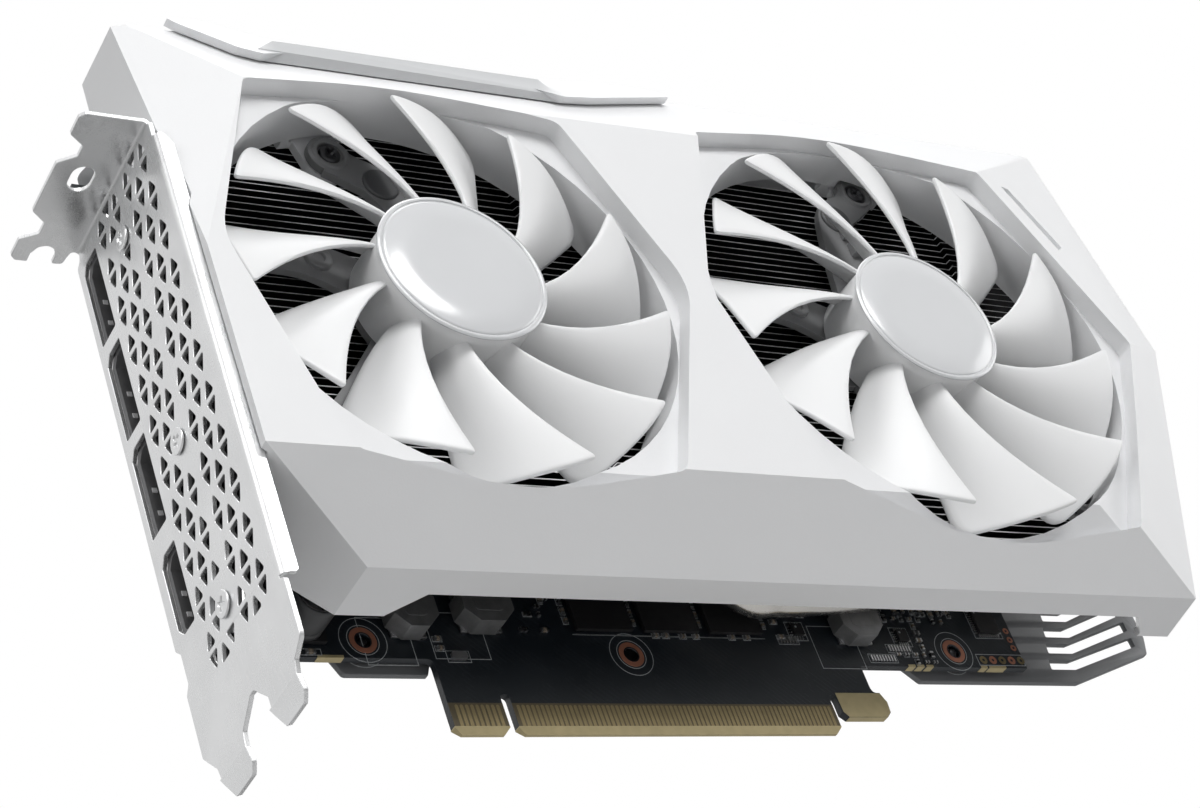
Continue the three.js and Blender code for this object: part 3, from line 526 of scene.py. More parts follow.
def drawn_metal(name, colour, roughness, along, grain=0.006, metallic=1.0):
    """Rolled or brushed metal with fine lines along one axis."""
    stretch = {"x": (0.03, 1, 1), "y": (1, 0.03, 1), "z": (1, 1, 0.03)}[along]
    look = Look(name, colour, roughness, metallic)
    lines = look.noise(0.16, 4.0, look.stretch(*stretch))
    look.mottle(14, 0.05).uneven(9, 0.06)
    look.roughness = look.math("ADD", look.roughness, look.ramp(lines, 0.3, 0.7, -0.06, 0.06))
    look.bump(lines, grain)
    bright = tuple(min(1, c * 1.12) for c in colour)
    # Painted highlight: a lighter tint on patches along the edges.
    look.tint(look.math("MULTIPLY", look.painted_edge_highlight(0.3, 1.6, 0.4, 0.6), 0.25), bright)
    return look.done()


def cast_metal(name, colour, roughness, metallic=1.0, grain=0.01):
    look = Look(name, colour, roughness, metallic).mottle(3, 0.08).uneven(2, 0.08)
    look.grain(0.25, grain)
    bright = tuple(min(1, c * 1.3 + 0.05) for c in colour)
    # Painted highlight: a lighter tint on patches along the edges.
    look.tint(look.math("MULTIPLY", look.painted_edge_highlight(0.25, 0.8, 0.4, 0.6), 0.35), bright)
    return look.done()


def laminate():
    """Solder mask over copper tracks: faint straight raised lines and a thin glossy coat."""
    look = Look("solder_mask", (0.0075, 0.0112, 0.0155), 0.45)
    cells = look.node("ShaderNodeTexVoronoi", {"Vector": look.place, "Scale": 1 / (4.2 * MM)},
                      distance="CHEBYCHEV")
    lines = look.node("ShaderNodeTexWave", {
        "Vector": look.place, "Scale": 0.5 / (1.1 * MM), "Distortion": 3.0, "Detail": 0.0,
        "Detail Scale": 0.1}, bands_direction="DIAGONAL")
    track = look.math("MULTIPLY", look.ramp(lines.outputs["Fac"], 0.72, 0.8),
                      look.ramp(cells.outputs["Color"], 0.45, 0.55))
    look.tint(look.math("MULTIPLY", track, 0.35), (0.016, 0.022, 0.028))
    look.bump(track, 0.02)
    look.mottle(20, 0.12).uneven(8, 0.06).grain(0.5, 0.004)
    return look.done(coat_weight=0.1, coat_roughness=0.25)


def printed():
    """White legend ink."""
    look = Look("legend_ink", (0.42, 0.44, 0.45), 0.6).mottle(0.6, 0.18).uneven(0.8, 0.06)
    return look.grain(0.2, 0.006).done()


def gold():
    look = Look("plated_contact", (0.30, 0.24, 0.125), 0.4, 0.85).mottle(3, 0.1).uneven(1.5, 0.07)
    scuff = look.noise(0.12, 3.0, look.stretch(1, 1, 0.06))
    look.bump(scuff, 0.004)
    look.tint(look.ramp(scuff, 0.55, 0.75, 0, 0.3), (0.4, 0.33, 0.19))
    return look.done()


def gilt_band():
    """Resin gilded and tarnished between the contacts."""
    look = Look("gilt_band", (0.13, 0.105, 0.062), 0.5, 0.4).mottle(5, 0.12).uneven(2, 0.06)
    return look.grain(0.3, 0.01).done()


def fin_metal():
    """Thin aluminium sheet painted near black for the shade deep between the fins, uneven in tone, with
    handling marks.
    """
    look = Look("fin_sheet", (0.03, 0.031, 0.033), 0.4, 0.85)
    look.mottle(9, 0.3).uneven(5, 0.08)
    return look.bump(look.noise(0.2, 2.0, look.stretch(0.04, 1, 1)), 0.006).done()


def fin_edge():
    """The front edges of the fins, painted nearly white as the highlight along each one."""
    look = Look("fin_edge", (0.80, 0.805, 0.81), 0.4, 0.5)
    look.dim(look.ramp(look.noise(13, 2.0), 0.35, 0.65, 0.7, 1.0))
    return look.uneven(3, 0.1).grain(0.4, 0.01).done()


def speckled(name, colour, roughness, metallic=0.0, spot_colour=None, size=0.3):
    look = Look(name, colour, roughness, metallic).mottle(2.5, 0.12).uneven(1.5, 0.07)
    look.grain(size, 0.012)
    if spot_colour:
        look.tint(look.ramp(look.noise(size), 0.6, 0.7, 0, 0.5), spot_colour)
    return look.done()


WHITE = moulded("white_plastic", (0.80, 0.805, 0.815), 0.42)
TRIM = trim_plastic()
BLADE = moulded("fan_plastic", (0.83, 0.835, 0.84), 0.36, 0.005)
CAP = moulded("cap_plastic", (0.63, 0.64, 0.655), 0.22, 0.0015, coat=1.0)
# Painted shade: the fan frames are white plastic, tinted grey for the shade they sit in behind the blades,
# and darker still for the pads, bosses and clip.
FRAME_SHADED_WHITE = moulded("frame_plastic", (0.25, 0.252, 0.256), 0.36, 0.006)
FRAME_DEEPER_SHADE = moulded("frame_dark", (0.11, 0.112, 0.115), 0.4, 0.006)
DARK = moulded("dark_plastic", (0.045, 0.046, 0.048), 0.42, 0.008)
BLACK = moulded("black_plastic", (0.012, 0.012, 0.013), 0.45, 0.008)
BRACKET_STEEL = drawn_metal("bracket_steel", (0.80, 0.805, 0.81), 0.3, "z", 0.003, 0.85)
SCREW_STEEL = cast_metal("screw_steel", (0.62, 0.62, 0.62), 0.3)
SCREW_DARK = cast_metal("screw_dark", (0.09, 0.09, 0.095), 0.35)
SHELL = drawn_metal("connector_shell", (0.2, 0.2, 0.205), 0.5, "x", 0.006, 0.4)
PORT_TAB = cast_metal("port_tab", (0.85, 0.85, 0.86), 0.5, 0.0, 0.006)
NICKEL = drawn_metal("plated_pipe", (0.62, 0.60, 0.57), 0.24, "x", 0.004)
COPPER = drawn_metal("copper", (0.64, 0.33, 0.19), 0.3, "z")
RING_COPPER = cast_metal("ring_copper", (0.42, 0.18, 0.115), 0.5, 0.45, 0.008)
MASK = laminate()
INK = printed()
GOLD = gold()
GILT_BAND = gilt_band()
EDGE_GOLD = cast_metal("edge_gold", (0.50, 0.42, 0.235), 0.42, 0.5, 0.006)
# The fins' near-black is painted shade, and their light front edges are a painted highlight.
FIN = fin_metal()
FIN_EDGE_HIGHLIGHT = fin_edge()
CHIP = speckled("chip_epoxy", (0.010, 0.010, 0.011), 0.5, 0.0, (0.03, 0.03, 0.032), 0.12)
FERRITE = speckled("ferrite", (0.21, 0.212, 0.215), 0.42, 0.55, (0.13, 0.13, 0.135), 0.25)
SILICON = speckled("silicon", (0.13, 0.14, 0.17), 0.12, 0.6)
MAGNET = speckled("magnet", (0.05, 0.045, 0.04), 0.55, 0.3, (0.1, 0.09, 0.08), 0.4)
CERAMIC = speckled("ceramic", (0.22, 0.185, 0.145), 0.5, 0.0, (0.16, 0.13, 0.1), 0.2)
TIN = cast_metal("tin", (0.62, 0.62, 0.63), 0.35, 1.0, 0.006)
# Painted shade: the backplate is darkened to this grey for the shadow it is seen in.
PLATE_PAINTED_SHADE = moulded("painted_plate", (0.145, 0.15, 0.156), 0.46, 0.02)


# ---------------------------------------------------------------- fans

def blade(tip, first_angle):
    """One blade as a closed skin: swept forward, bulging to the front, with rounded edges."""
    length = tip - BLADE_ROOT
    half_thick = BLADE_THICKNESS / 2
    spans = [0, 0.12, 0.24, 0.36, 0.48, 0.58, 0.68, 0.76, 0.84, 0.9, 0.94, 0.965, 0.98, 0.99]
    spans += [1 - d / length for d in (0.32, 0.16, 0.05)] + [1.0]
    shares = [0, 0.008, 0.03, 0.08, 0.16, 0.26, 0.36, 0.46, 0.56, 0.66, 0.76, 0.86, 0.93, 0.975,
              0.993, 1.0]
    rows = []
    for span in sorted(spans):
        radius = BLADE_ROOT + length * span
        to_tip = length * (1 - span)
        sweep = 21.5 * (1 - span) + 8.6 * (1 - span) ** 2
        width = 15 + 15.5 * span
        chord = radius * math.radians(width)
        insets = []
        for corner in (1.1, 3.2):
            left = math.sqrt(max(corner ** 2 - max(corner - to_tip, 0) ** 2, 0))
            insets.append((corner - left) / chord)
        fullness = 1.0
        if to_tip < half_thick:
            fullness = math.sqrt(max(1 - (1 - to_tip / half_thick) ** 2, 0.0))
        front, back = [], []
        for share in shares:
            aft = insets[0] + (1 - insets[0] - insets[1]) * share
            angle = math.radians(first_angle - sweep - width * aft)
            y = -33.35 - 1.25 * span - 0.5 * span ** 2 + (6 + 4.6 * span) * aft
            y -= (1.2 + span) * math.sin(math.pi * aft)
            away = min(share, 1 - share) * chord
            half = half_thick * fullness
            if away < half_thick:
                half *= math.sqrt(max(1 - (1 - away / half_thick) ** 2, 0.0))
            half = max(half, 0.012)
            for row, side in ((front, -1), (back, 1)):
                row.append((radius * math.cos(angle), y + side * half, radius * math.sin(angle)))
        rows.append(front + back[::-1])
    return Shape().loft(rows)


def rotor(fan):
    """Hub skirt and blades."""
    roof, back = HUB_ROOF_Y, HUB_BACK_Y
    shape = Shape()
    shape.lathe([
        (1.6, HUB_FRONT_Y), (15.6, HUB_FRONT_Y), (16.1, HUB_FRONT_Y + 0.08),
        (16.35, HUB_FRONT_Y + 0.35), (16.5, -33.2), (HUB_RADIUS, -31), (HUB_RADIUS + 0.2, back + 0.4),
        (HUB_RADIUS, back), (15.2, back),
        (15.1, back + 0.2), (15.1, roof + 0.6), (14.6, roof), (3.4, roof), (3.4, -31.7), (1.6, -31.7),
    ], 96, closed=True)
    one = blade(TIPS[fan], FIRST_TIP_ANGLES[fan])
    for i in range(BLADE_COUNT):
        shape.add(one, turned_to(-360 / BLADE_COUNT * i))
    x, z = CENTRES[fan]
    placed = Shape().add(shape, Matrix.Translation((x, 0, z)))
    make(SIDE[fan] + "_impeller", placed, fan, BLADE, [fan + "_rotor"], "fan_plastic", limit=40)


def hub_cap(fan):
    """A flat face with a broad soft shoulder, a fine groove and a thin lip."""
    face, back = CAP_FACE_Y, CAP_BACK_Y
    profile = [(0, face), (5, face), (9.5, face)]
    for i in range(1, 13):
        t = i / 12
        profile.append((10.6 + 5.3 * t, face + 0.66 * t ** 1.9))
    profile += [(15.98, face + 0.76), (16.12, face + 0.76), (16.16, face + 0.66)]
    for i in range(7):
        t = math.radians(160 - 140 * i / 6)
        profile.append((16.48 + 0.3 * math.cos(t), face + 0.66 - 0.1 * math.sin(t)))
    profile += [(16.98, face + 0.7), (CAP_RADIUS, face + 0.84), (CAP_RADIUS, back - 0.1),
                (16.95, back), (0, back)]
    x, z = CENTRES[fan]
    shape = Shape().lathe(profile, 128, centre=(x, z))
    make(SIDE[fan] + "_hub_face", shape, fan, CAP, [fan + "_hub_cap"], "cap_plastic", limit=40)


def ears(fan):
    x, z = CENTRES[fan]
    for k in range(3):
        angle = EAR_ANGLES[fan] + 120 * k
        t = math.radians(angle)
        yield k, angle, x + EAR_RADII[fan] * math.cos(t), z + EAR_RADII[fan] * math.sin(t)


# The arm that carries the first ear: (along, across, width) on its middle line, turned to that ear.
FIRST_ARMS = {
    "fan_left": ((39.5, 0.6, 8.4), (36.0, -2.9, 8.0), (31.6, -7.0, 8.6), (21, -9.6, 9.4),
                 (11, -9.6, 10.5)),
    "fan_right": ((48.0, 0.0, 8.0), (43.5, 3.2, 7.6), (38.1, 7.0, 8.6), (25, 6.6, 9.6),
                  (12, 5.0, 11.0)),
}
ARM_PADS = {"fan_left": (31.6, -7.0), "fan_right": (38.1, 7.0)}
SIDE_BRACKET_ANGLE = 152


def band(line):
    """The outline of a strip of varying width along a smooth line of (along, across, width)."""
    route = smooth_route([(a, w, b) for a, b, w in line], 5)
    left, right = [], []
    for i, point in enumerate(route):
        ahead = route[min(i + 1, len(route) - 1)] - route[max(i - 1, 0)]
        run = math.hypot(ahead.x, ahead.z)
        shift_a, shift_b = -ahead.z / run * point.y / 2, ahead.x / run * point.y / 2
        left.append((point.x + shift_a, point.z + shift_b))
        right.append((point.x - shift_a, point.z - shift_b))
    return left + right[::-1]


def fan_frame(fan):
    """Motor plate, an arm to each ear, a side bracket, and a pad and boss or two painted darker as deeper
    shade.
    """
    cx, cz = CENTRES[fan]
    reach = EAR_RADII[fan]
    front, back = FRAME_FRONT_Y, FRAME_BACK_Y
    shape = Shape()
    shape.lathe([
        (3.5, front + 0.35), (9.5, front + 0.35), (9.8, front), (14.2, front), (14.5, front + 0.3),
        (16.2, front + 0.3), (16.6, front + 0.6), (16.6, back - 0.3), (16.3, back), (3.5, back),
    ], 72, centre=(cx, cz), closed=True)
    for k, angle, ex, ez in ears(fan):
        arm = Shape()
        if k == 0:
            arm.prism(band(FIRST_ARMS[fan]), front + 0.1, back)
            pad = [(0, front - 0.5), (3.5, front - 0.5), (3.8, front - 0.25), (3.8, back - 0.2),
                   (0, back - 0.2)]
            arm.lathe(pad, 36, 1, ARM_PADS[fan])
        else:
            outline = band(((reach - 3.5, 0, 5.4), (30, 0, 6.6), (20, 0, 9), (13, 0, 11)))
            arm.prism(outline, front + 0.25, back)
            arm.prism(band(((reach - 5.2, 0, 2.2), (15.5, 0, 4.4))), front - 0.25, back)
        shape.add(arm, turned_to(-angle, (cx, 0, cz)))
        shape.lathe([
            (2.7, -22.0), (2.7, front - 0.1), (2.85, front - 0.28), (3.6, front - 0.28), (3.8, front + 0.05),
            (4.6, front + 0.15), (4.6, back - 0.15), (4.4, back), (1.6, back), (1.6, -22.0),
        ], 36, centre=(ex, ez), closed=True)
    side = Shape()
    side.prism(band(((12, 0, 11), (20, 0, 9.4), (27, 1.4, 8.4), (34, 5.0, 7.6))), front + 0.3, back)
    boss = [(0, front - 0.1), (1.2, front - 0.1), (1.3, front - 0.75), (2.5, front - 0.75),
            (2.7, front - 0.5), (2.7, back - 0.2), (0, back - 0.2)]
    side.lathe(boss, 28, 0, (23.3, 0))
    stud = [(0, front + 0.1), (1.6, front + 0.1), (1.8, front + 0.25), (1.8, back - 0.2), (0, back - 0.2)]
    side.lathe(stud, 24, 1, (30.2, 3.0))
    shape.add(side, turned_to(-SIDE_BRACKET_ANGLE, (cx, 0, cz)))
    if fan == "fan_right":
        # A stepped cable clip on the first arm.
        shape.box(166.9, 171.2, front - 1.5, back - 0.1, 105.6, 108.9)
        shape.box(166.4, 170.9, front - 1.1, back - 0.1, 110.2, 113.4)
        shape.box(167.6, 169.2, front - 2.0, front - 1.2, 106.4, 108.2, 1)
    make(SIDE[fan] + "_motor_mount", shape, "card", [FRAME_SHADED_WHITE, FRAME_DEEPER_SHADE], [fan + "_frame"],
         "frame_plastic", 0.12)


def fan_lead(fan):
    """Four insulated wires from the motor plate along one arm to the duct's edge."""
    x, z = CENTRES[fan]
    arm = 2 if fan == "fan_left" else 1
    angle = EAR_ANGLES[fan] + 120 * arm - 9
    stations = ((12, -20.2, 0), (18, -20.0, 0), (26, -19.7, 1.0), (34, -19.6, 2.2), (40.5, -19.5, 2.6))
    shape = Shape()
    for i in range(4):
        aside = (i - 1.5) * 1.15
        route = []
        for radius, y, bent in stations:
            t = math.radians(angle + bent)
            c, s = math.cos(t), math.sin(t)
            route.append((x + radius * c - aside * s, y, z + radius * s + aside * c))
        shape.tube(smooth_route(route, 6), 0.5, 8)
    make(SIDE[fan] + "_fan_lead", shape, "card", BLACK, (), "black_plastic", limit=50)


def wire_coil(shape, x, z, angle, inner, outer, turns):
    """A pole's winding, as flat oval loops further and further out along its radius."""
    c, s = math.cos(math.radians(angle)), math.sin(math.radians(angle))
    for turn in range(turns):
        r = inner + (outer - inner) * turn / turns
        wide = 2.2 + turn * 0.32
        loop = [(x + r * c - wide * a * s, -27 + 4.3 * b, z + r * s + wide * a * c)
                for a, _, b in circle(1, 0, 24)]
        shape.tube(loop + loop[:1], 0.46, 6, 1, tips=False)


def motor(fan):
    """Laminated core with four wound poles, magnet ring, shaft and bearing."""
    x, z = CENTRES[fan]
    core = Shape()
    plates = [-30.6 + i * 1.5 for i in range(5)]
    for y in plates:
        core.lathe([(3.65, y), (12.7, y), (12.8, y + 0.15), (12.8, y + 1.15), (12.7, y + 1.3),
                    (3.65, y + 1.3)], 48, centre=(x, z), closed=True)
    core.lathe([(3.6, -30.9), (4.6, -30.9), (4.6, -23.3), (3.6, -23.3)], 32, centre=(x, z), closed=True)
    for i in range(4):
        wire_coil(core, x, z, 45 + 90 * i, 5.6, 11.9, 6)
    make(SIDE[fan] + "_windings", core, "card", [FERRITE, COPPER], [fan + "_stator"], "copper", limit=40)
    turned = (
        ("_rotor_magnet", fan, MAGNET, "_magnet_ring", "magnet", 72, 50,
         ((13.3, -31.8), (13.5, -32), (14.6, -32), (14.8, -31.8), (14.8, -24.2), (14.6, -24), (13.5, -24),
          (13.3, -24.2))),
        ("_spindle", fan, SCREW_STEEL, "_shaft", "steel", 32, 40,
         ((0, -34.4), (1.3, -34.4), (1.5, -34.2), (1.5, -23.2), (1.2, -23.0), (1.2, -22.5), (1.5, -22.3),
          (1.5, -21.8), (1.1, -21.4), (0, -21.4))),
        ("_bearing_sleeve", "card", NICKEL, "_bearing", "nickel", 40, 40,
         ((1.58, -31.0), (1.8, -31.2), (3.0, -31.2), (3.2, -31.0), (3.2, -21.3), (2.9, -21), (1.8, -21),
          (1.58, -21.2))),
    )
    for name, body, look, node, slot, steps, limit, profile in turned:
        shape = Shape().lathe(profile, steps, centre=(x, z), closed=profile[0][0] > 0)
        make(SIDE[fan] + name, shape, body, look, [fan + node], slot, limit=limit)


# ---------------------------------------------------------------- screws

def recess_edge(cross, arm, steps):
    """For each point of a round rim, the nearest outer corner of the cross."""
    tips = [i for i in range(12) if i % 3 != 2]
    nearest = []
    for a, _, b in circle(1, 0, steps):
        nearest.append(min(tips, key=lambda i: (cross[i][0] / arm - a) ** 2 + (cross[i][1] / arm - b) ** 2))
    return nearest


def screw(head, shank, length, height, rim):
    """A cross-recessed screw with its seat at y = 0, head towards -y; rim is its (radius, height) profile."""
    steps = 40
    shape = Shape()
    top = -height
    rings = [circle(head * r, top * h, steps) for r, h in rim]
    shape.loft(rings, caps=False)
    # Top face round the recess: each rim point joins the nearest corner of the cross.
    arm, half, depth = head * 0.58, head * 0.17, height * 0.75
    cross = [(half, arm), (-half, arm), (-half, half), (-arm, half), (-arm, -half), (-half, -half),
             (-half, -arm), (half, -arm), (half, -half), (arm, -half), (arm, half), (half, half)]
    base = len(shape.points)
    shape.points.extend(Vector((a, top, b)) for a, b in cross)
    shape.points.extend(Vector((a * 0.8, top + depth, b * 0.8)) for a, b in cross)
    nearest = recess_edge(cross, arm, steps)
    for k in range(steps):
        n = (k + 1) % steps
        a, b = nearest[k], nearest[n]
        low, high = sorted((a, b))
        if high - low <= 2:
            between = list(range(low, high + 1))
        else:
            between = list(range(high, 12)) + list(range(low + 1))
        if between[0] != a:
            between = between[::-1]
        shape.face([k] + [base + c for c in between] + [n])
    for c in range(12):
        n = (c + 1) % 12
        shape.face((base + c, base + n, base + 12 + n, base + 12 + c))
    shape.face(range(base + 12, base + 24))
    # Underside and a threaded shank.
    rows = [rings[-1], circle(shank, 0, steps)]
    turns = max(int(length / 0.5), 2)
    for i in range(turns):
        y = 0.15 + (length - 0.5) * i / turns
        rows += [circle(shank, y, steps), circle(shank * 0.84, y + 0.2, steps)]
    rows += [circle(shank * 0.7, length - 0.1, steps), circle(shank * 0.4, length, steps)]
    shape.loft(rows, caps=False)
    last = len(shape.points) - steps
    shape.face(range(last, last + steps))
    return shape


PAN_RIM = ((0.78, 1), (0.92, 0.8), (1, 0.45), (1, 0.12), (0.96, 0))
FLAT_RIM = ((0.9, 1), (0.97, 0.86), (1, 0.6), (1, 0.12), (0.97, 0))


def screws():
    def place(name, one, matrix, look, node, bevel=0.04):
        make(name, Shape().add(one, matrix), "card", look, [node], "steel", bevel)

    small = screw(2.3, 1.2, 3, 1.1, PAN_RIM)
    for fan in FAN_NAMES:
        for k, angle, x, z in ears(fan):
            spin = turned_to(angle * 3 + 17, (x, FRAME_BACK_Y - 1.3, z))
            place("%s_mount_screw_%d" % (SIDE[fan], k + 1), small, spin, SCREW_DARK,
                  "%s_screw_%d" % (fan, k + 1))
    for k, (y, z) in enumerate(BRACKET_SCREWS):
        flat = screw(2.4, 1.25, 7 if k < 2 else 3.4, 0.4, FLAT_RIM)
        turn = turned_to(-90, (-0.2, y, z), "Z") @ turned_to(20 + 50 * k)
        place("bracket_fixing_%d" % (k + 1), flat, turn, BRACKET_STEEL, "bracket_screw_%d" % (k + 1), 0.05)
    rear = screw(2.4, 1.2, 4.6, 0.6, FLAT_RIM)
    for k, (x, z) in enumerate(PLATE_SCREWS):
        turn = turned_to(180, (x, 4.8, z), "X") @ turned_to(35 * k)
        place("plate_fixing_%d" % (k + 1), rear, turn, SCREW_DARK, "backplate_screw_%d" % (k + 1))


# ---------------------------------------------------------------- heatsink

FIN_PITCH = 1.8
FIN_FRONT_Y = -18.6
FIN_BACK_Y = -11.2


def fin_stack(side):
    """Thin parallel fins with a small step across a stiffening crease, and the folded feet behind them."""
    left = side == "left"
    x0, x1, z0, z1 = (11, 117, 22.4, 129.4) if left else (118, 217.7, 30.4, 129.4)
    jog = 86.0 if left else 200.4
    thick, step = 0.26, 1.3
    slant_top = 38  # below this the left stack is cut back at its bracket end
    shape = Shape()
    count = int((z1 - z0 - 1.5) / FIN_PITCH)
    for i in range(count + 1):
        z = z0 + i * FIN_PITCH
        start = x0 + (max(0, (slant_top - z) * 1.25) if left else 0)
        line = [(start, z), (jog - 0.8, z), (jog + 0.8, z + step), (x1, z + step)]
        ring = line + [(a, b + thick) for a, b in line[::-1]]
        base, n = len(shape.points), len(ring)
        rows = [[(a, y, b) for a, b in ring] for y in (FIN_FRONT_Y, FIN_BACK_Y)]
        shape.loft(rows, 0, caps=False)
        # The front ends take the painted edge highlight, the back ends the near-black sheet.
        for k in range(3):
            for at, look in ((base, 1), (base + n, 0)):
                shape.face((at + k, at + k + 1, at + n - 2 - k, at + n - 1 - k), look)
        # The foot, folded over towards the next fin.
        for a, b, lift in ((start + 0.5, jog - 0.9, 0.1), (jog + 0.9, x1 - 0.5, 0.1 + step)):
            shape.box(a, b, FIN_BACK_Y - 0.35, FIN_BACK_Y - 0.05, z + lift, z + FIN_PITCH + lift)
    make(side + "_fin_pack", shape, "card", [FIN, FIN_EDGE_HIGHLIGHT], ["fin_stack_" + side], "fin_aluminium",
         limit=40)


HEAT_PIPES = (
    ((190, 29), (166, 28), (150, 27.2), (136, 25.5), (122, 24.5), (112, 26), (99, 44), (88, 51), (72, 53),
     (20, 53)),
    ((214, 62), (150, 62), (126, 64), (100, 66), (76, 68), (20, 70)),
    ((214, 104), (160, 104), (140, 99), (125, 87), (110, 80), (90, 79), (66, 86), (20, 90)),
)


def heatsink():
    for side in ("left", "right"):
        fin_stack(side)
    for i, route in enumerate(HEAT_PIPES):
        path = smooth_route([(x, -7.75, z) for x, z in route], 10)
        shape = Shape().tube(path, 2.95, 28)
        make("sintered_pipe_%d" % (i + 1), shape, "card", NICKEL, ["heat_pipe_%d" % (i + 1)], "nickel",
             limit=50)
    block = Shape()
    block.prism(pill(76, 124, 40, 88, 2.0), -4.0, -3.3)
    block.prism(pill(82, 118, 46, 82, 1.5), -3.6, -2.9)
    for i in range(7):
        block.box(80 + i * 6, 83.6 + i * 6, -4.45, -3.9, 41.5, 86.5)
    make("contact_block", block, "card", COPPER, ["cold_plate"], "copper", 0.12)


# ---------------------------------------------------------------- circuit board

FINGER_FIRST, KEY_X, FINGER_LAST = 46.7, 58.8, 131.9


def contacts():
    """Plated contacts of the edge connector, on both faces."""
    shape = Shape()
    for a, b in ((FINGER_FIRST + 1.0, KEY_X - 1.6), (KEY_X + 1.6, FINGER_LAST - 0.7)):
        count = int(round(b - a))
        for i in range(count):
            x = a + (b - a) * (i + 0.5) / count
            low, high, half = 1.5, 5.6, 0.34
            pad = [(x - half, low), (x + half, low), (x + half, high)]
            pad += arc(x, high, half, 20, 160, 4) + [(x - half, high)]
            both_faces(shape, pad, 0.055, 0.02)
    make("edge_contacts", shape, "card", GOLD, (), "nickel", limit=40)


def both_faces(shape, outline, proud, sunk, look=0):
    """A thin plate on each face of the board."""
    for y0, y1 in ((-proud, sunk), (BOARD_BACK_Y - sunk, BOARD_BACK_Y + proud)):
        shape.prism(outline, y0, y1, look=look)


def connector_edge():
    """The gilded band under the contacts, its bevelled lip, the hook behind it, strips on the lower edge."""
    back = BOARD_BACK_Y
    shape = Shape()
    for a, b in ((FINGER_FIRST - 0.04, KEY_X - 0.91), (KEY_X + 0.91, FINGER_LAST + 0.04)):
        both_faces(shape, rect(a + 0.05, b - 0.05, 1.42, 6.3), 0.03, 0.01)
        rows = []
        for x, low in ((a, 1.28), (a + 1.3, -0.03), (b - 1.3, -0.03), (b, 1.28)):
            in_y = 0.49 * (1.5 - low) / 1.52 - 0.06
            rows.append([(x, -0.06, 1.5), (x, in_y, low), (x, back - in_y, low), (x, back + 0.06, 1.5)])
        shape.loft(rows, 1)
    hook = [(134.0, 4.7), (134.95, 3.55), (144.45, 3.55), (145.6, 4.65), (145.8, 7.0), (144.85, 9.0),
            (133.8, 9.0)]
    both_faces(shape, hook, 0.04, 0.01, 1)
    shape.box(135, 144.4, 0.02, back - 0.02, 3.44, 3.56, 1)
    strips = ((24.0, 29.1), (155.5, 157.3), (157.8, 159.6), (160.2, 162.0), (174.7, 176.4), (176.9, 181.5))
    for a, b in strips:
        shape.box(a, b, 0.05, back - 0.05, 15.34, 15.5, 1)
        shape.box(a, b, -0.03, 0.03, 15.38, 15.9, 1)
    make("gilded_edge", shape, "card", [GILT_BAND, EDGE_GOLD], (), "nickel", limit=40)


def mounting_rings():
    """Copper rings and printed circles round the board's holes, on both faces."""
    rings = Shape()
    for centre in PLATE_SCREWS + (SPARE_HOLE,):
        for y, out in ((0.0, -1), (BOARD_BACK_Y, 1)):
            near, far, high = y - out * 0.02, y + out * 0.05, y + out * 0.08
            print_y = near + (far - near) * 0.6
            rings.lathe([(1.68, near), (1.68, far), (2.66, far), (2.7, near)], 48, 0, centre, True)
            for r in (3.08, 4.6):
                line = [(r - 0.07, near), (r - 0.06, print_y), (r + 0.06, print_y), (r + 0.07, near)]
                rings.lathe(line, 64, 1, centre, True)
            rings.lathe([(1.35, near), (1.4, high), (1.66, high), (1.68, near)], 40, 2, centre, True)
    # The end of a dark standoff in the hole that no plate screw uses.
    rings.lathe([(0, 0.3), (1.3, 0.3), (1.45, 0.45), (1.45, 1.4), (0, 1.4)], 32, 2, SPARE_HOLE)
    make("mounting_rings", rings, "card", [RING_COPPER, INK, SCREW_DARK], (), "copper", limit=40)


def frame_line(shape, x, z, half_x, half_z, width):
    """A printed rectangle round (x, z), in look 1."""
    x0, x1, z0, z1 = x - half_x, x + half_x, z - half_z, z + half_z
    for a, b, c, d in ((x0, x1, z0, z0 + width), (x0, x1, z1 - width, z1),
                       (x0, x0 + width, z0 + width, z1 - width), (x1 - width, x1, z0 + width, z1 - width)):
        shape.box(a, b, -0.045, 0.02, c, d, 1)


def passive(shape, x, z, long, wide, tall, turned=False, body=0):
    """A small chip component with tinned ends; look numbers are body and 2 for tin."""
    end = 0.24 * long
    for at, reach, proud, look in ((0, long / 2, 0, body), ((end - long) / 2, end / 2 + 0.02, 0.03, 2),
                                   ((long - end) / 2, end / 2 + 0.02, 0.03, 2)):
        spans = [(at - reach, at + reach), (-wide / 2 - proud, wide / 2 + proud)]
        (a0, a1), (b0, b1) = spans[::-1] if turned else spans
        shape.box(x + a0, x + a1, -tall - proud, 0.02, z + b0, z + b1, look)


def leaded_chip(shape, x, z, size, pins):
    """A square chip with gull-wing leads on its four sides; look 3 is its body, 2 its leads."""
    half, tall = size / 2, 0.95
    shape.prism(pill(x - half, x + half, z - half, z + half, 0.2, 2), -tall, -0.12, look=3)
    for i in range(pins):
        at = -half + size * (i + 0.5) / pins
        for side in (-1, 1):
            out = side * (half + 0.35)
            for a, b, half_a, half_b in ((at, out, 0.1, 0.4), (out, at, 0.4, 0.1)):
                shape.box(x + a - half_a, x + a + half_a, -0.3, -0.02, z + b - half_b, z + b + half_b, 2)
    dot = [(0, -tall - 0.012), (0.25, -tall - 0.012), (0.25, -tall + 0.05), (0, -tall + 0.05)]
    shape.lathe(dot, 12, 4, (x - half + 0.7, z + half - 0.7))


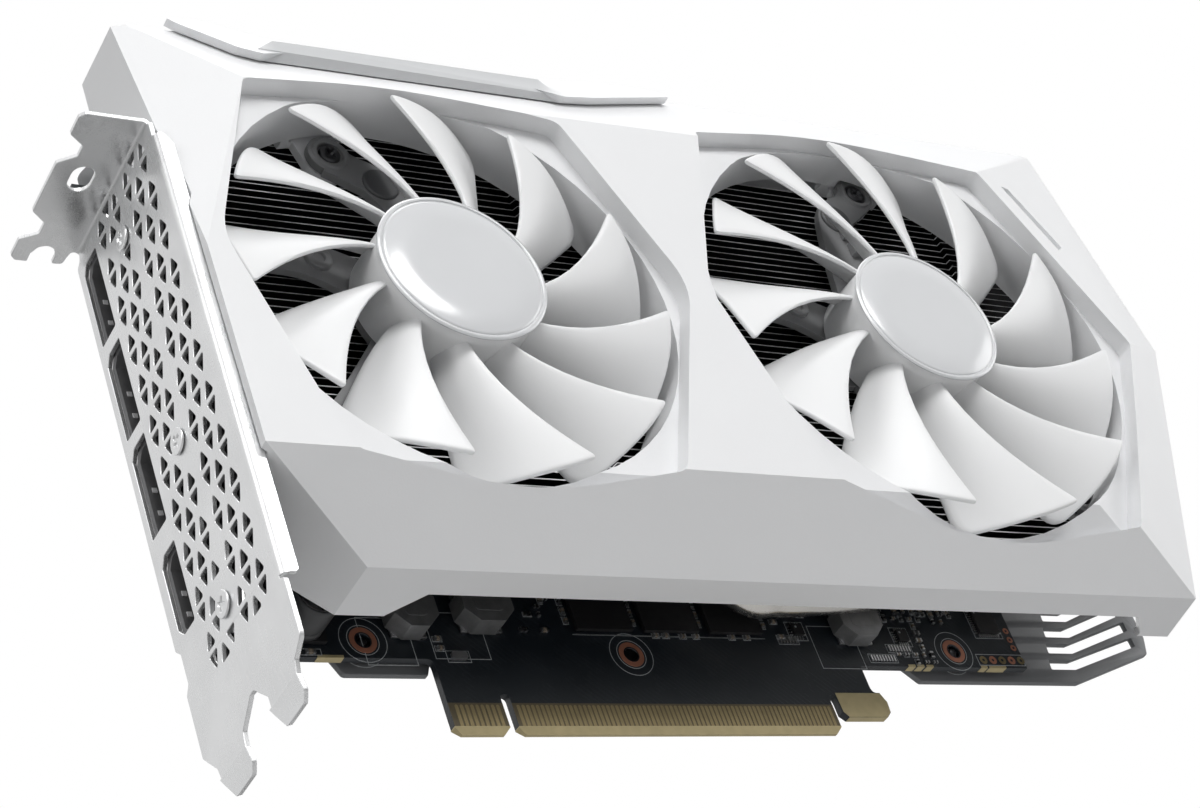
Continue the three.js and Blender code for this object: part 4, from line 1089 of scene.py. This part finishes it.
# Areas of the front of the board that are taken, as x0, x1, z0, z1.
TAKEN = (
    (35, 48, 14, 27), (50, 64.5, 16.5, 29), (76.5, 123.5, 20, 37), (135.5, 151, 15.5, 28.6),
    (16.6, 27.4, 16.6, 27.4), (29, 38.6, 14, 24), (84.6, 94.2, 12, 22), (164.2, 174, 14, 24.2),
    (174, 187.5, 15.5, 33), (78, 126, 42, 86), (0, 14.5, 10, 110), (126, 146, 36, 84),
    (172, 184, 106, 118), (24, 36, 106, 118), (143, 169, 116, 122),
)
# Areas that the real board fills with small parts, as x0, x1, z0, z1 and how full they are.
FIELDS = (
    (125.5, 135, 20.0, 34, 0.8), (151.4, 164, 16.4, 34, 0.86), (174.5, 187, 19.4, 24, 0.8),
    (164.5, 176, 24.6, 36, 0.86), (64.8, 76, 22, 34, 0.35), (126, 172, 28.8, 37, 0.75),
    (16, 77, 28.8, 110, 0.42), (146, 186, 36, 106, 0.5), (36, 142, 88, 120, 0.4),
)


def pads_and_frames(shape):
    """The parts that are seen one by one under the shroud, each in its printed frame."""
    for x in (96.4, 98.7, 102.6, 105.7, 114.1, 117.7):
        passive(shape, x, 21.35, 1.1, 0.65, 0.5)
        frame_line(shape, x, 21.35, 0.85, 0.6, 0.11)
    for x in (77.3, 92.25, 107.3, 122.7):
        for z in (24.3, 26.4, 28.5, 30.6, 32.7):
            passive(shape, x, z, 1.1, 0.6, 0.5, True, 5 if z > 28 else 0)
            frame_line(shape, x, z, 0.62, 0.85, 0.09)
    for x, z in ((49.0, 27.6), (49.0, 25.6), (48.7, 17.6), (48.7, 19.6)):
        passive(shape, x, z, 1.3, 0.7, 0.6)
        frame_line(shape, x, z, 1.0, 0.6, 0.1)
    shape.prism(pill(50.4, 53.6, 15.2, 16.7, 0.5), -0.7, 0.02, look=2)
    frame_line(shape, 52, 15.95, 2.4, 1.25, 0.1)
    for x, z, wide, high, _ in CHOKES:
        frame_line(shape, x, z, wide / 2 + 0.5, high / 2 + 0.5, 0.12)
    frame_line(shape, 22.8, 16.425, 2.2, 0.675, 0.12)
    passive(shape, 22.8, 16.4, 1.8, 0.8, 0.5)
    frame_line(shape, 100, 21.3, 22.1, 0.1, 0.1)
    # Round pads: bare copper and dark ones in turn, then a column.
    for i in range(5):
        ring = [(0.35, -0.05), (0.35, 0.02), (0.95, 0.02), (0.95, -0.05)]
        shape.lathe(ring, 20, 6 if i % 2 else 7, (176.2 + i * 2.55, 17.3), True)
    frame_line(shape, 180.85, 17.325, 6.25, 1.375, 0.12)
    for z in (20.4, 22.4, 24.6):
        shape.lathe([(0.3, -0.05), (0.3, 0.02), (0.75, 0.02), (0.75, -0.05)], 16, 6, (186.0, z), True)
    # Rows of narrow pads.
    pitch = 0.72
    for x0, count, z in ((146.6, 9, 17.2), (152.2, 8, 19.6), (125.6, 6, 21.1)):
        for i in range(count):
            shape.box(x0 + i * pitch, x0 + i * pitch + 0.38, -0.25, 0.02, z - 0.7, z + 0.7, 2)
        half = (count * pitch + 0.7) / 2
        frame_line(shape, x0 - 0.5 + half, z, half, 1.05, 0.1)


def front_parts():
    """The small components and printed frames on the front of the board."""
    shape = Shape()
    rng = random.Random(11)
    taken = list(TAKEN)
    pads_and_frames(shape)
    for x, z, size, pins in ((180.6, 26.4, 5.6, 11), (156.6, 22.4, 2.6, 5), (130.5, 23.2, 2.4, 4)):
        leaded_chip(shape, x, z, size, pins)
        half = size / 2 + 1
        taken.append((x - half, x + half, z - half, z + half))
        frame_line(shape, x, z, half, half, 0.1)

    def free(x, z, margin):
        return all(not (a - margin < x < b + margin and c - margin < z < d + margin) for a, b, c, d in taken)

    for x0, x1, z0, z1, share in FIELDS:
        z = z0
        while z < z1:
            x = x0 + rng.random() * 0.6
            while x < x1:
                long = rng.choice((1.0, 1.0, 1.5))
                body = rng.choice((0, 0, 5, 3))
                across = rng.random() < 0.5
                skip = rng.random() > share
                frame_it = rng.random() < 0.6
                if not skip and free(x, z, 1.1):
                    passive(shape, x, z, long, long * 0.52, 0.45, across, body)
                    if frame_it:
                        a, b = (0.55, long / 2 + 0.25) if across else (long / 2 + 0.25, 0.55)
                        frame_line(shape, x, z, a, b, 0.085)
                x += 2.1 + rng.random() * 0.35
            z += 1.75
    looks = [CERAMIC, INK, TIN, CHIP, INK, DARK, RING_COPPER, GOLD]
    make("front_components", shape, "card", looks, (), "chip_black", limit=40)


def back_parts():
    """Components behind the processor, on the back of the board."""
    shape = Shape()
    rng = random.Random(5)
    for row in range(14):
        for column in range(22):
            x, z = 82 + column * 1.75, 50 + row * 2.1
            if rng.random() < 0.7 and not (abs(abs(x - 100) - abs(z - 64)) < 9):
                one = Shape()
                passive(one, 0, 0, 1.0, 0.52, 0.42, rng.random() < 0.5)
                shape.add(one, turned_to(180, (x, BOARD_BACK_Y, z), "Z"))
    make("back_components", shape, "card", [CERAMIC, INK, TIN], (), "chip_black", limit=40)


CHOKES = ((38.4, 18.9, 9, 9, -5), (53, 20.4, 10.4, 9, -5), (139, 19.6, 10, 9, -4.4))  # x, z, w, h, front
CHOKE_CHAMFER = 2.6
MEMORY = ((78.4, 21.7), (93.5, 21.7), (108.6, 21.7), (130, 38), (130, 54), (130, 70))


def memory_chip(name, x, z, w, h, node):
    """A moulded package on its carrier, with its solder balls and a dot at pin one."""
    shape = Shape()
    shape.prism(pill(x, x + w, z, z + h, 0.25, 2), -1.4, -0.55)
    shape.prism(rect(x + 0.15, x + w - 0.15, z + 0.15, z + h - 0.15), -0.6, -0.4, look=1)
    shape.lathe([(0.0, -1.41), (0.42, -1.41), (0.42, -1.3), (0, -1.3)], 16, 2, (x + 1.2, z + h - 1.2))
    ball = [(0, -0.5), (0.28, -0.42), (0.34, -0.32), (0.28, -0.12), (0, -0.06)]
    for a in range(8):
        for b in range(9):
            shape.lathe(ball, 6, 3, (x + 1.2 + a * (w - 2.4) / 7, z + 1.2 + b * (h - 2.4) / 8))
    make(name, shape, "card", [CHIP, MASK, INK, TIN], [node], "chip_black", 0.06, 30)


def choke(name, x, z, w, h, front, node):
    """An eight-sided ferrite body on two tinned pads, with a shallow panel pressed in its front."""
    c = CHOKE_CHAMFER
    shape = Shape()
    shape.prism(rounded([(x + c, z), (x + w - c, z), (x + w, z + c), (x + w, z + h - c), (x + w - c, z + h),
                         (x + c, z + h), (x, z + h - c), (x, z + c)], 0.25, 2), front, -0.55)
    shape.prism(pill(x + 2.2, x + w - 2.2, z + 2.2, z + h - 2.2, 1.0, 3), front - 0.08, front + 0.2)
    for side in (x + 0.9, x + w - 3.1):
        shape.box(side, side + 2.2, -0.6, -0.1, z + 0.6, z + h - 0.6, 1)
    make(name, shape, "card", [FERRITE, TIN], [node], "ferrite", 0.1, 30)


def processor():
    """Carrier with solder balls, stiffener strips, capacitors round the die, and the die."""
    package = Shape()
    package.prism(pill(80, 120, 44, 84, 0.5, 2), -1.5, -0.9)
    ball = [(0, -0.95), (0.3, -0.8), (0.34, -0.6), (0.3, -0.4), (0, -0.32)]
    pitch = 35.8 / 23
    for a in range(24):
        for b in range(24):
            if not (5 < a < 18 and 5 < b < 18 and (a + b) % 2):
                package.lathe(ball, 6, 1, (82.1 + a * pitch, 46.1 + b * pitch))
    for x0, x1, z0, z1 in ((81, 119, 44.8, 46.8), (81, 119, 81.2, 83.2), (80.8, 82.8, 47.4, 80.6),
                           (117.2, 119.2, 47.4, 80.6)):
        package.box(x0, x1, -1.75, -1.45, z0, z1, 2)
    rng = random.Random(3)
    for i in range(60):
        a = math.radians(i * 6)
        x = 100 + max(-16.2, min(16.2, 23 * math.cos(a))) + rng.random() * 0.4
        z = 64 + max(-15.2, min(15.2, 21 * math.sin(a))) + rng.random() * 0.4
        package.box(x - 0.5, x + 0.5, -1.8, -1.45, z - 0.28, z + 0.28, 3)
    make("processor_carrier", package, "card", [MASK, TIN, SCREW_STEEL, CERAMIC], ["processor_package"],
         "board_laminate", 0.08, 30)
    die = Shape()
    die.prism(rect(88, 112, 53, 75), -2.6, -1.95)
    die.prism(pill(87.2, 112.8, 52.2, 75.8, 0.8, 3), -1.98, -1.82, look=1)
    make("silicon_die", die, "card", [SILICON, BLACK], ["processor_die"], "silicon", 0.05, 30)


def smoothing_capacitor():
    """An upright can with a scored end, on a cut-cornered base."""
    at = (22, 22)
    can = Shape()
    can.lathe([(0, -8.85), (3.5, -8.85), (3.6, -9.0), (3.9, -9.0), (4.15, -8.7), (4.2, -8.3), (4.2, -2.9),
               (3.95, -2.6), (3.95, -2.2), (4.2, -1.9), (4.2, -1.1), (0, -1.1)], 48, 0, at)
    can.lathe([(0, -8.9), (3.42, -8.9), (3.42, -8.7), (0, -8.7)], 40, 1, at)
    can.prism(rect(18.6, 25.4, 21.9, 22.1), -8.93, -8.8)
    can.prism(rect(21.9, 22.1, 18.6, 25.4), -8.93, -8.8)
    base = [(17.8, 17.8), (26.2, 17.8), (26.2, 24.8), (24.8, 26.2), (19.2, 26.2), (17.8, 24.8)]
    can.prism(rounded(base, 0.3, 2), -1.2, -0.3, look=2)
    make("smoothing_can", can, "card", [DARK, TIN, BLACK], ["capacitor"], "black_plastic", 0.06, 35)


def board():
    dress("circuit_board", MASK, 0.06, 30)
    contacts()
    connector_edge()
    mounting_rings()
    front_parts()
    back_parts()
    for i, (x, z) in enumerate(MEMORY):
        w, h = (12.6, 14) if i < 3 else (14, 12.6)
        memory_chip("memory_package_%d" % (i + 1), x, z, w, h, "memory_chip_%d" % (i + 1))
    for i, place in enumerate(CHOKES):
        choke("choke_%d" % (i + 1), *place, "inductor_%d" % (i + 1))
    processor()
    smoothing_capacitor()


# ---------------------------------------------------------------- connectors

PORT_CUT = 1.7
PORT_WALL = 0.32
SHELL_FRONT_X, SHELL_BACK_X = 1.2, 13.0


def port_walls(both_cut, grow=0.0):
    y0, y1 = (-4.9, 0.9) if both_cut else (-4.3, 1.7)
    return y0 - grow, y1 + grow


def port_outline(z0, z1, both_cut, grow=0.0):
    """A port's mouth in the y-z plane, with one or both of its corners next to the board's back cut."""
    y0, y1 = port_walls(both_cut, grow)
    cut = y1 - PORT_CUT
    slope = PORT_CUT - grow * 0.4
    low = [(cut, z0 - grow), (y1, z0 + slope)] if both_cut else [(y1, z0 - grow)]
    corners = [(y0, z0 - grow)] + low + [(y1, z1 - slope), (cut, z1 + grow), (y0, z1 + grow)]
    return rounded(corners, 0.35, 3)


def port(name, z0, z1, both_cut):
    """A drawn shell round a moulded insert, with a contact tongue, sprung tabs and light squares."""
    shape = Shape()
    flange, outer, inner = [port_outline(z0, z1, both_cut, grow) for grow in (0.9, 0.0, -PORT_WALL)]
    front, back, flange_back = SHELL_FRONT_X, SHELL_BACK_X, SHELL_FRONT_X + 0.3
    rows = [[spot("yz", a, b, x) for a, b in line] for x, line in (
        (front, flange), (flange_back, flange), (flange_back, outer), (back, outer), (back, inner),
        (front, inner))]
    shape.loft(rows, 0, closed=True)
    shape.prism(port_outline(z0, z1, both_cut, -0.34), 10.2, 12.9, "yz", 1)
    y = -1.6 if both_cut else -0.9
    shape.prism(pill(y - 0.6, y + 0.6, z0 + 2.4, z1 - 2.6, 0.15, 2), 2.7, 10.6, "yz", 1)
    count = 10
    for i in range(count):
        z = z0 + 3.2 + (z1 - z0 - 6.6) * i / (count - 1)
        for at in (y - 0.62, y + 0.62):
            shape.box(3.0, 10.0, at - 0.05, at + 0.05, z - 0.22, z + 0.22, 2)
    low, high = port_walls(both_cut, -PORT_WALL)
    for share in (0.3, 0.57):
        z = z0 + (z1 - z0) * share
        for wall, side in ((low, -1), (high, 1)):
            square = sorted((wall, wall - side * 0.2))
            shape.box(2.1, 3.0, *square, z - 0.48, z + 0.48, 3)
            rows = []
            for x, dip in ((4.2, 0.0), (5.0, 0.05), (5.8, 0.42), (6.8, 0.42), (8.2, 0.05)):
                at = wall - side * (dip + 0.02)
                rows.append([(x, a, b) for a, b in rect(at - 0.06, at + 0.06, z - 0.8, z + 0.8)])
            shape.loft(rows, 0)
    make(name + "_socket", shape, "card", [SHELL, BLACK, GOLD, PORT_TAB], [name],
         "nickel" if both_cut else "dark_plastic", limit=35)


def power_socket():
    dress("power_connector", BLACK, 0.12, 30)
    shape = Shape()
    columns = [149.7 + i * 4.2 for i in range(4)]
    for x in columns:
        for y in (-8.2, -3.6):
            shape.tube([(x, y, 121.2), (x, y, 127.5), (x, y, 128.2)], 0.55, 10)
    make("power_pins", shape, "card", TIN, (), "steel", limit=40)
    step = [(-11.4, 122.4), (-10.8, 121.6), (-10.8, 130.6), (-12.0, 130.6), (-12.0, 129.2)]
    latch = Shape().prism(step, 153.2, 158.8, "yz")
    make("power_latch_step", latch, "card", BLACK, (), "black_plastic", 0.15)


# ---------------------------------------------------------------- slot bracket

VENT_COLUMNS = ((-8.1, 0), (-11.75, 1), (-15.3, 0), (-21, 0), (-24.75, 1), (-28.5, 0))  # y, shifted
VENT_PITCH = 9.06
SLOT_PITCH = 20.32


def vents():
    """Pairs of rounded triangles, base to base, that keep clear of the screws and the sheet's ends."""
    for y, shifted in VENT_COLUMNS:
        top = 106.02 if shifted else 101.5
        for row in range(12):
            z = top - row * VENT_PITCH
            for side in (1, -1):
                middle = z + side * 1.8
                near_screw = any(math.hypot(sy - y, sz - middle) < 3.6 for sy, sz in BRACKET_SCREWS)
                if 7.2 <= middle <= 105.2 and not near_screw:
                    base, tip = z + side * 0.5, z + side * 3.8
                    yield rounded([(y - 1.72, base), (y + 1.72, base), (y, tip)], 0.35, 3)


def bend(inside, centre, start, low, high, plane):
    """A quarter bend of sheet, from start degrees on, drawn out between low and high."""
    outer = arc(*centre, inside + SHEET, start, start + 90, 8)
    inner = arc(*centre, inside, start + 90, start, 8)
    return Shape().prism(outer + inner, low, high, plane)


def bracket():
    """Vented sheet, folded screw tab, stiffening flange and two locating prongs."""
    near, far = BRACKET_NEAR_Y, BRACKET_FAR_Y
    fold = 0.55
    seam = 0.12  # each sheet runs this far into its bend, which hides the joint
    top = TAB_TOP_Z - SHEET - fold
    edge = near + SHEET + fold
    foot = -8.9
    face = [(edge - seam, top + seam, 0), (far - 2, top + seam, 0), (far - 1.6, 104.4, 1), (far, 103.4, 1),
            (far, 18.5), (far - 1.5, 17), (far - 1.5, 11.2), (far, 9.7), (far, -2.4, 0.8),
            (0.1, -6.6, 0.6), (-0.4, foot, 0), (-10.4, foot, 0), (-10.8, -6.4, 0.6), (-15.8, -3, 0.9),
            (-17.2, -3, 0.9), (-20.8, -6.6, 0.6), (-20.9, foot, 0), (-30.7, foot, 0), (-31.4, -6.6, 0.6),
            (near, -4.5, 1.5), (near, 6.2, 0.4), (edge - seam, 6.9, 0.3)]
    windows = list(vents())
    windows += [port_outline(z0, z1, both_cut, 0.22) for _, z0, z1, both_cut in PORTS]
    windows += [ring_line(y, z, 1.9) for y, z in BRACKET_SCREWS]
    shape = sheet([rounded(face, 0.5)] + windows, 0, SHEET, "yz", 0.1)
    # The screw tab: two notches, a closed slot and an open slot.
    slot_y = 3.15 - SLOT_PITCH
    slot = arc(-6.4, slot_y + 0.95, 2.2, 0, 180, 10) + arc(-6.4, slot_y - 0.95, 2.2, 180, 360, 10)
    tab = [(seam - fold, near + 1.8, 0), (-11.2, near + 1.8, 0.6), (-12.2, near + 2.8, 0.6),
           (-12.2, -27.6, 0.8), (-9, -25.2, 0.8), (-9, -22.6, 0.8), (-12.2, -20.4, 0.8), (-12.2, -7.6, 0.8),
           (-9, -4.9, 0.8), (-9, -2.1, 0.8), (-12.2, -0.2, 0.8), (-12.2, 4.4, 0.8), (-11.2, 5.4, 0.6),
           (-8.75, 5.4, 0.4), (-8.75, 3.15, 0), (-7.9, 1.4, 1.2), (-6.4, 0.8, 1.6), (-4.9, 1.4, 1.2),
           (-4.05, 3.15, 0), (-4.05, 5.4, 0.4), (-2, 5.2, 0.8), (-1.4, far - 2, 0.5),
           (seam - fold, far - 2, 0)]
    shape.add(sheet([rounded(tab, 0.5), slot], TAB_TOP_Z - SHEET, TAB_TOP_Z, "xy", 0.1))
    shape.add(bend(fold, (-fold, top), 0, near + 1.8, far - 2, "xz"))
    # The stiffening flange along the near edge.
    rim_x = SHEET + fold - seam
    rim = [(rim_x, 7.4, 0), (2.6, 7.4, 0.6), (3.2, 8, 0.6), (3.2, 99.8, 0.8), (1.7, 102, 0.4),
           (rim_x, 102, 0)]
    shape.add(sheet([rounded(rim, 0.4)], near, near + SHEET, "xz", 0.1))
    shape.add(bend(fold, (SHEET + fold, edge), 180, 7.4, 102, "xy"))
    shape.box(0.04, SHEET - 0.04, near + 1.2, edge + 0.2, 102, top)
    # Locating prongs, bent towards the card.
    prong = [(0.4, 0.3, 0), (-0.3, -1.2, 0.5), (-2, -4.4, 0.8), (-8.6, -4.4, 0.8), (-10.1, -2.9, 0.8),
             (-10.2, 0.3, 0)]
    tip = sheet([rounded(prong, 0.5)], 0, SHEET, "yz", 0.1)
    for shift in (0, -SLOT_PITCH):
        shape.add(tip, Matrix.Translation((0, shift - 0.2, foot)) @ Matrix.Rotation(-0.2, 4, "Y"))
    make("vented_bracket", shape, "card", BRACKET_STEEL, ["slot_bracket"], "steel", limit=35)
    dress("bracket_foot", BRACKET_STEEL, 0.12, 30)


def vent_painted_shade_sheet():
    """A black slotted sheet behind the bracket's vents, put there as painted shade to darken the view through
    them.
    """
    near, far, low, high = -31.0, -6.2, 7.5, 104.4
    loops = [pill(near, far, low, high, 1.5)]
    loops += [ring_line(y, z, radius) for (y, z), radius in zip(BRACKET_SCREWS, (2.3, 2.3, 4.6))]
    for i in range(10):
        z = 20.9 + i * VENT_PITCH
        if all(abs(z - screw_z) > 4 for _, screw_z in BRACKET_SCREWS):
            loops.append(pill(near + 2, far - 2, z, z + 1.0, 0.45))
    make("vent_painted_shade_sheet", sheet(loops, 1.35, 2.1, "yz", 0.1), "card", BLACK, (), "black_plastic", limit=35)


# ---------------------------------------------------------------- shroud and backplate

def shroud():
    dress("shroud", WHITE, 0.35, 24)
    dress("top_trim", TRIM, 0.3, 24)


def backplate():
    """Stamped plate with four angled slots at its end, pressed ribs, and rims round its screws."""
    outline = [(8, 24, 2), (16, 18, 1.5), (28, 18, 1.5), (30.1, 14, 1), (46.8, 14, 0.3), (48.3, 17.4, 1),
               (157, 17.4, 1), (160.3, 14, 1), (203.4, 14, 1.5), (227.9, 21.6, 1.2), (229.4, 25.9, 1.2),
               (229.4, 128, 2), (222, 134, 2), (10, 134, 2), (5, 128, 2), (5, 30, 2)]
    loops = [rounded(outline, 1)]
    half, end_x, climb = 1.1, 225.4, 6.3
    for i in range(4):
        z, left, knee = 18.5 + i * 4.1, 197.6 + i * 1.35, 204.4 + i * 1.3
        loops.append(rounded([
            (left, z - half), (knee, z - half), (end_x, z - half + climb), (end_x, z + half + climb),
            (knee - 0.3, z + half), (left + 0.3, z + half)], 0.2, 2))
    loops += [ring_line(x, z, 1.6) for x, z in PLATE_SCREWS]
    shape = sheet(loops, 3.0, 4.35, "xz", 0.22)
    for i in range(6):
        z, shift = 36 + i * 16, i * 4
        for rib in ([(22, z), (66 - shift, z), (70 - shift, z + 4), (22, z + 4)],
                    [(136 + shift, z), (196, z), (196, z + 4), (132 + shift, z + 4)]):
            shape.prism(rounded(rib, 1.2), 4.2, 4.5)
    for centre in PLATE_SCREWS:
        shape.lathe([(1.7, 4.3), (1.75, 4.48), (3.6, 4.48), (3.9, 4.3)], 36, 0, centre, True)
    make("rear_plate", shape, "card", PLATE_PAINTED_SHADE, ["backplate"], "backplate_metal", limit=35)
    dress("retention_plate", BRACKET_STEEL, 0.1, 30)


# ---------------------------------------------------------------- stage

def floor_look():
    """Pale paper; the part of its brightness that only the camera sees lights nothing."""
    look = Look("floor", (0.62, 0.62, 0.62), 0.7).mottle(400, 0.01).uneven(60, 0.03)
    camera_ray = look.node("ShaderNodeLightPath").outputs["Is Camera Ray"]
    return look.done(emission_color=(1, 1, 1, 1), emission_strength=look.math("MULTIPLY", camera_ray, 0.36))


LIGHTS = (  # name, place, diameter and watts
    ("key", (-0.1, -1.3, 1.0), 0.9, 13.0),
    ("fill", (-1.4, -0.45, 0.6), 0.9, 5.0),
    ("top", (0.2, 0.1, 1.4), 1.2, 9.0),
    ("rear", (0.9, 1.2, 0.5), 1.0, 5.0),
    ("end", (1.5, -0.6, 0.4), 0.8, 3.0),
    ("sheen", (0.44, -1.08, 0.74), 0.4, 3.2),  # the highlight on the hub caps
)
LIGHTS_AIM = (0.11, -0.02, 0.07)
FLOOR_Z = -0.8
FLOOR_HALF = 30.0


def on_stage(name, data):
    obj = bpy.data.objects.new(name, data)
    bpy.context.scene.collection.objects.link(obj)
    return obj


def stage():
    """Floor, lights and a white studio, in metres."""
    mesh = bpy.data.meshes.new("floor")
    corners = [(x, y, FLOOR_Z) for x, y in rect(-FLOOR_HALF, FLOOR_HALF, -FLOOR_HALF, FLOOR_HALF)]
    mesh.from_pydata(corners, [], [(0, 1, 2, 3)])
    mesh.materials.append(floor_look())
    on_stage("floor", mesh)
    for name, at, size, power in LIGHTS:
        lamp = bpy.data.lights.new(name, "AREA")
        lamp.shape = "DISK"
        lamp.size = size
        lamp.energy = power
        obj = on_stage(name, lamp)
        obj.location = at
        obj.rotation_euler = (Vector(LIGHTS_AIM) - Vector(at)).to_track_quat("-Z", "Y").to_euler()
    world = bpy.data.worlds.new("studio")
    bpy.context.scene.world = world
    world.use_nodes = True
    # White to the camera, bright in reflections; as a light it is dim, and dimmest from below.
    studio = Tree(world.node_tree)
    path = studio.node("ShaderNodeLightPath").outputs
    direction = studio.node("ShaderNodeTexCoord").outputs["Generated"]
    height = studio.node("ShaderNodeSeparateXYZ", {0: direction}).outputs["Z"]
    ambient = studio.ramp(height, -0.3, 0.6, 0.05, 0.36)
    mirrored = studio.math("MULTIPLY", path["Is Glossy Ray"], 0.82)
    seen = studio.math("MAXIMUM", path["Is Camera Ray"], mirrored)
    strength = studio.math("MAXIMUM", seen, ambient)
    sky = studio.node("ShaderNodeBackground", {"Color": (1, 1, 1, 1), "Strength": strength})
    studio.node("ShaderNodeOutputWorld", {0: sky.outputs[0]})
    view = bpy.context.scene.view_settings
    view.view_transform = "Standard"
    view.look = "None"
    view.exposure = 0.0


# The camera that fits the photograph, in metres: below the card and to its left, with some roll.
LENS = 77.52
SENSOR_WIDTH = 36
VIEWPOINT = (-0.18191, -0.3236, -0.2079)
RIGHT = Vector((0.83039, -0.46739, -0.30332))
DOWN = Vector((0.06833, 0.62568, -0.77708))


def camera():
    data = bpy.data.cameras.new("camera")
    data.lens = LENS
    data.sensor_width = SENSOR_WIDTH
    data.clip_start, data.clip_end = 0.01, 50
    turn = Matrix((RIGHT, -DOWN, -RIGHT.cross(DOWN))).transposed()
    obj = bpy.data.objects.new("camera", data)
    obj.matrix_world = Matrix.Translation(VIEWPOINT) @ turn.to_4x4()
    bpy.context.scene.collection.objects.link(obj)
    bpy.context.scene.camera = obj


# ---------------------------------------------------------------- assembly

shroud()
for _fan in FAN_NAMES:
    rotor(_fan)
    hub_cap(_fan)
    fan_frame(_fan)
    fan_lead(_fan)
    motor(_fan)
screws()
heatsink()
board()
for _port in PORTS:
    port(*_port)
power_socket()
bracket()
vent_painted_shade_sheet()
backplate()
stage()
camera()
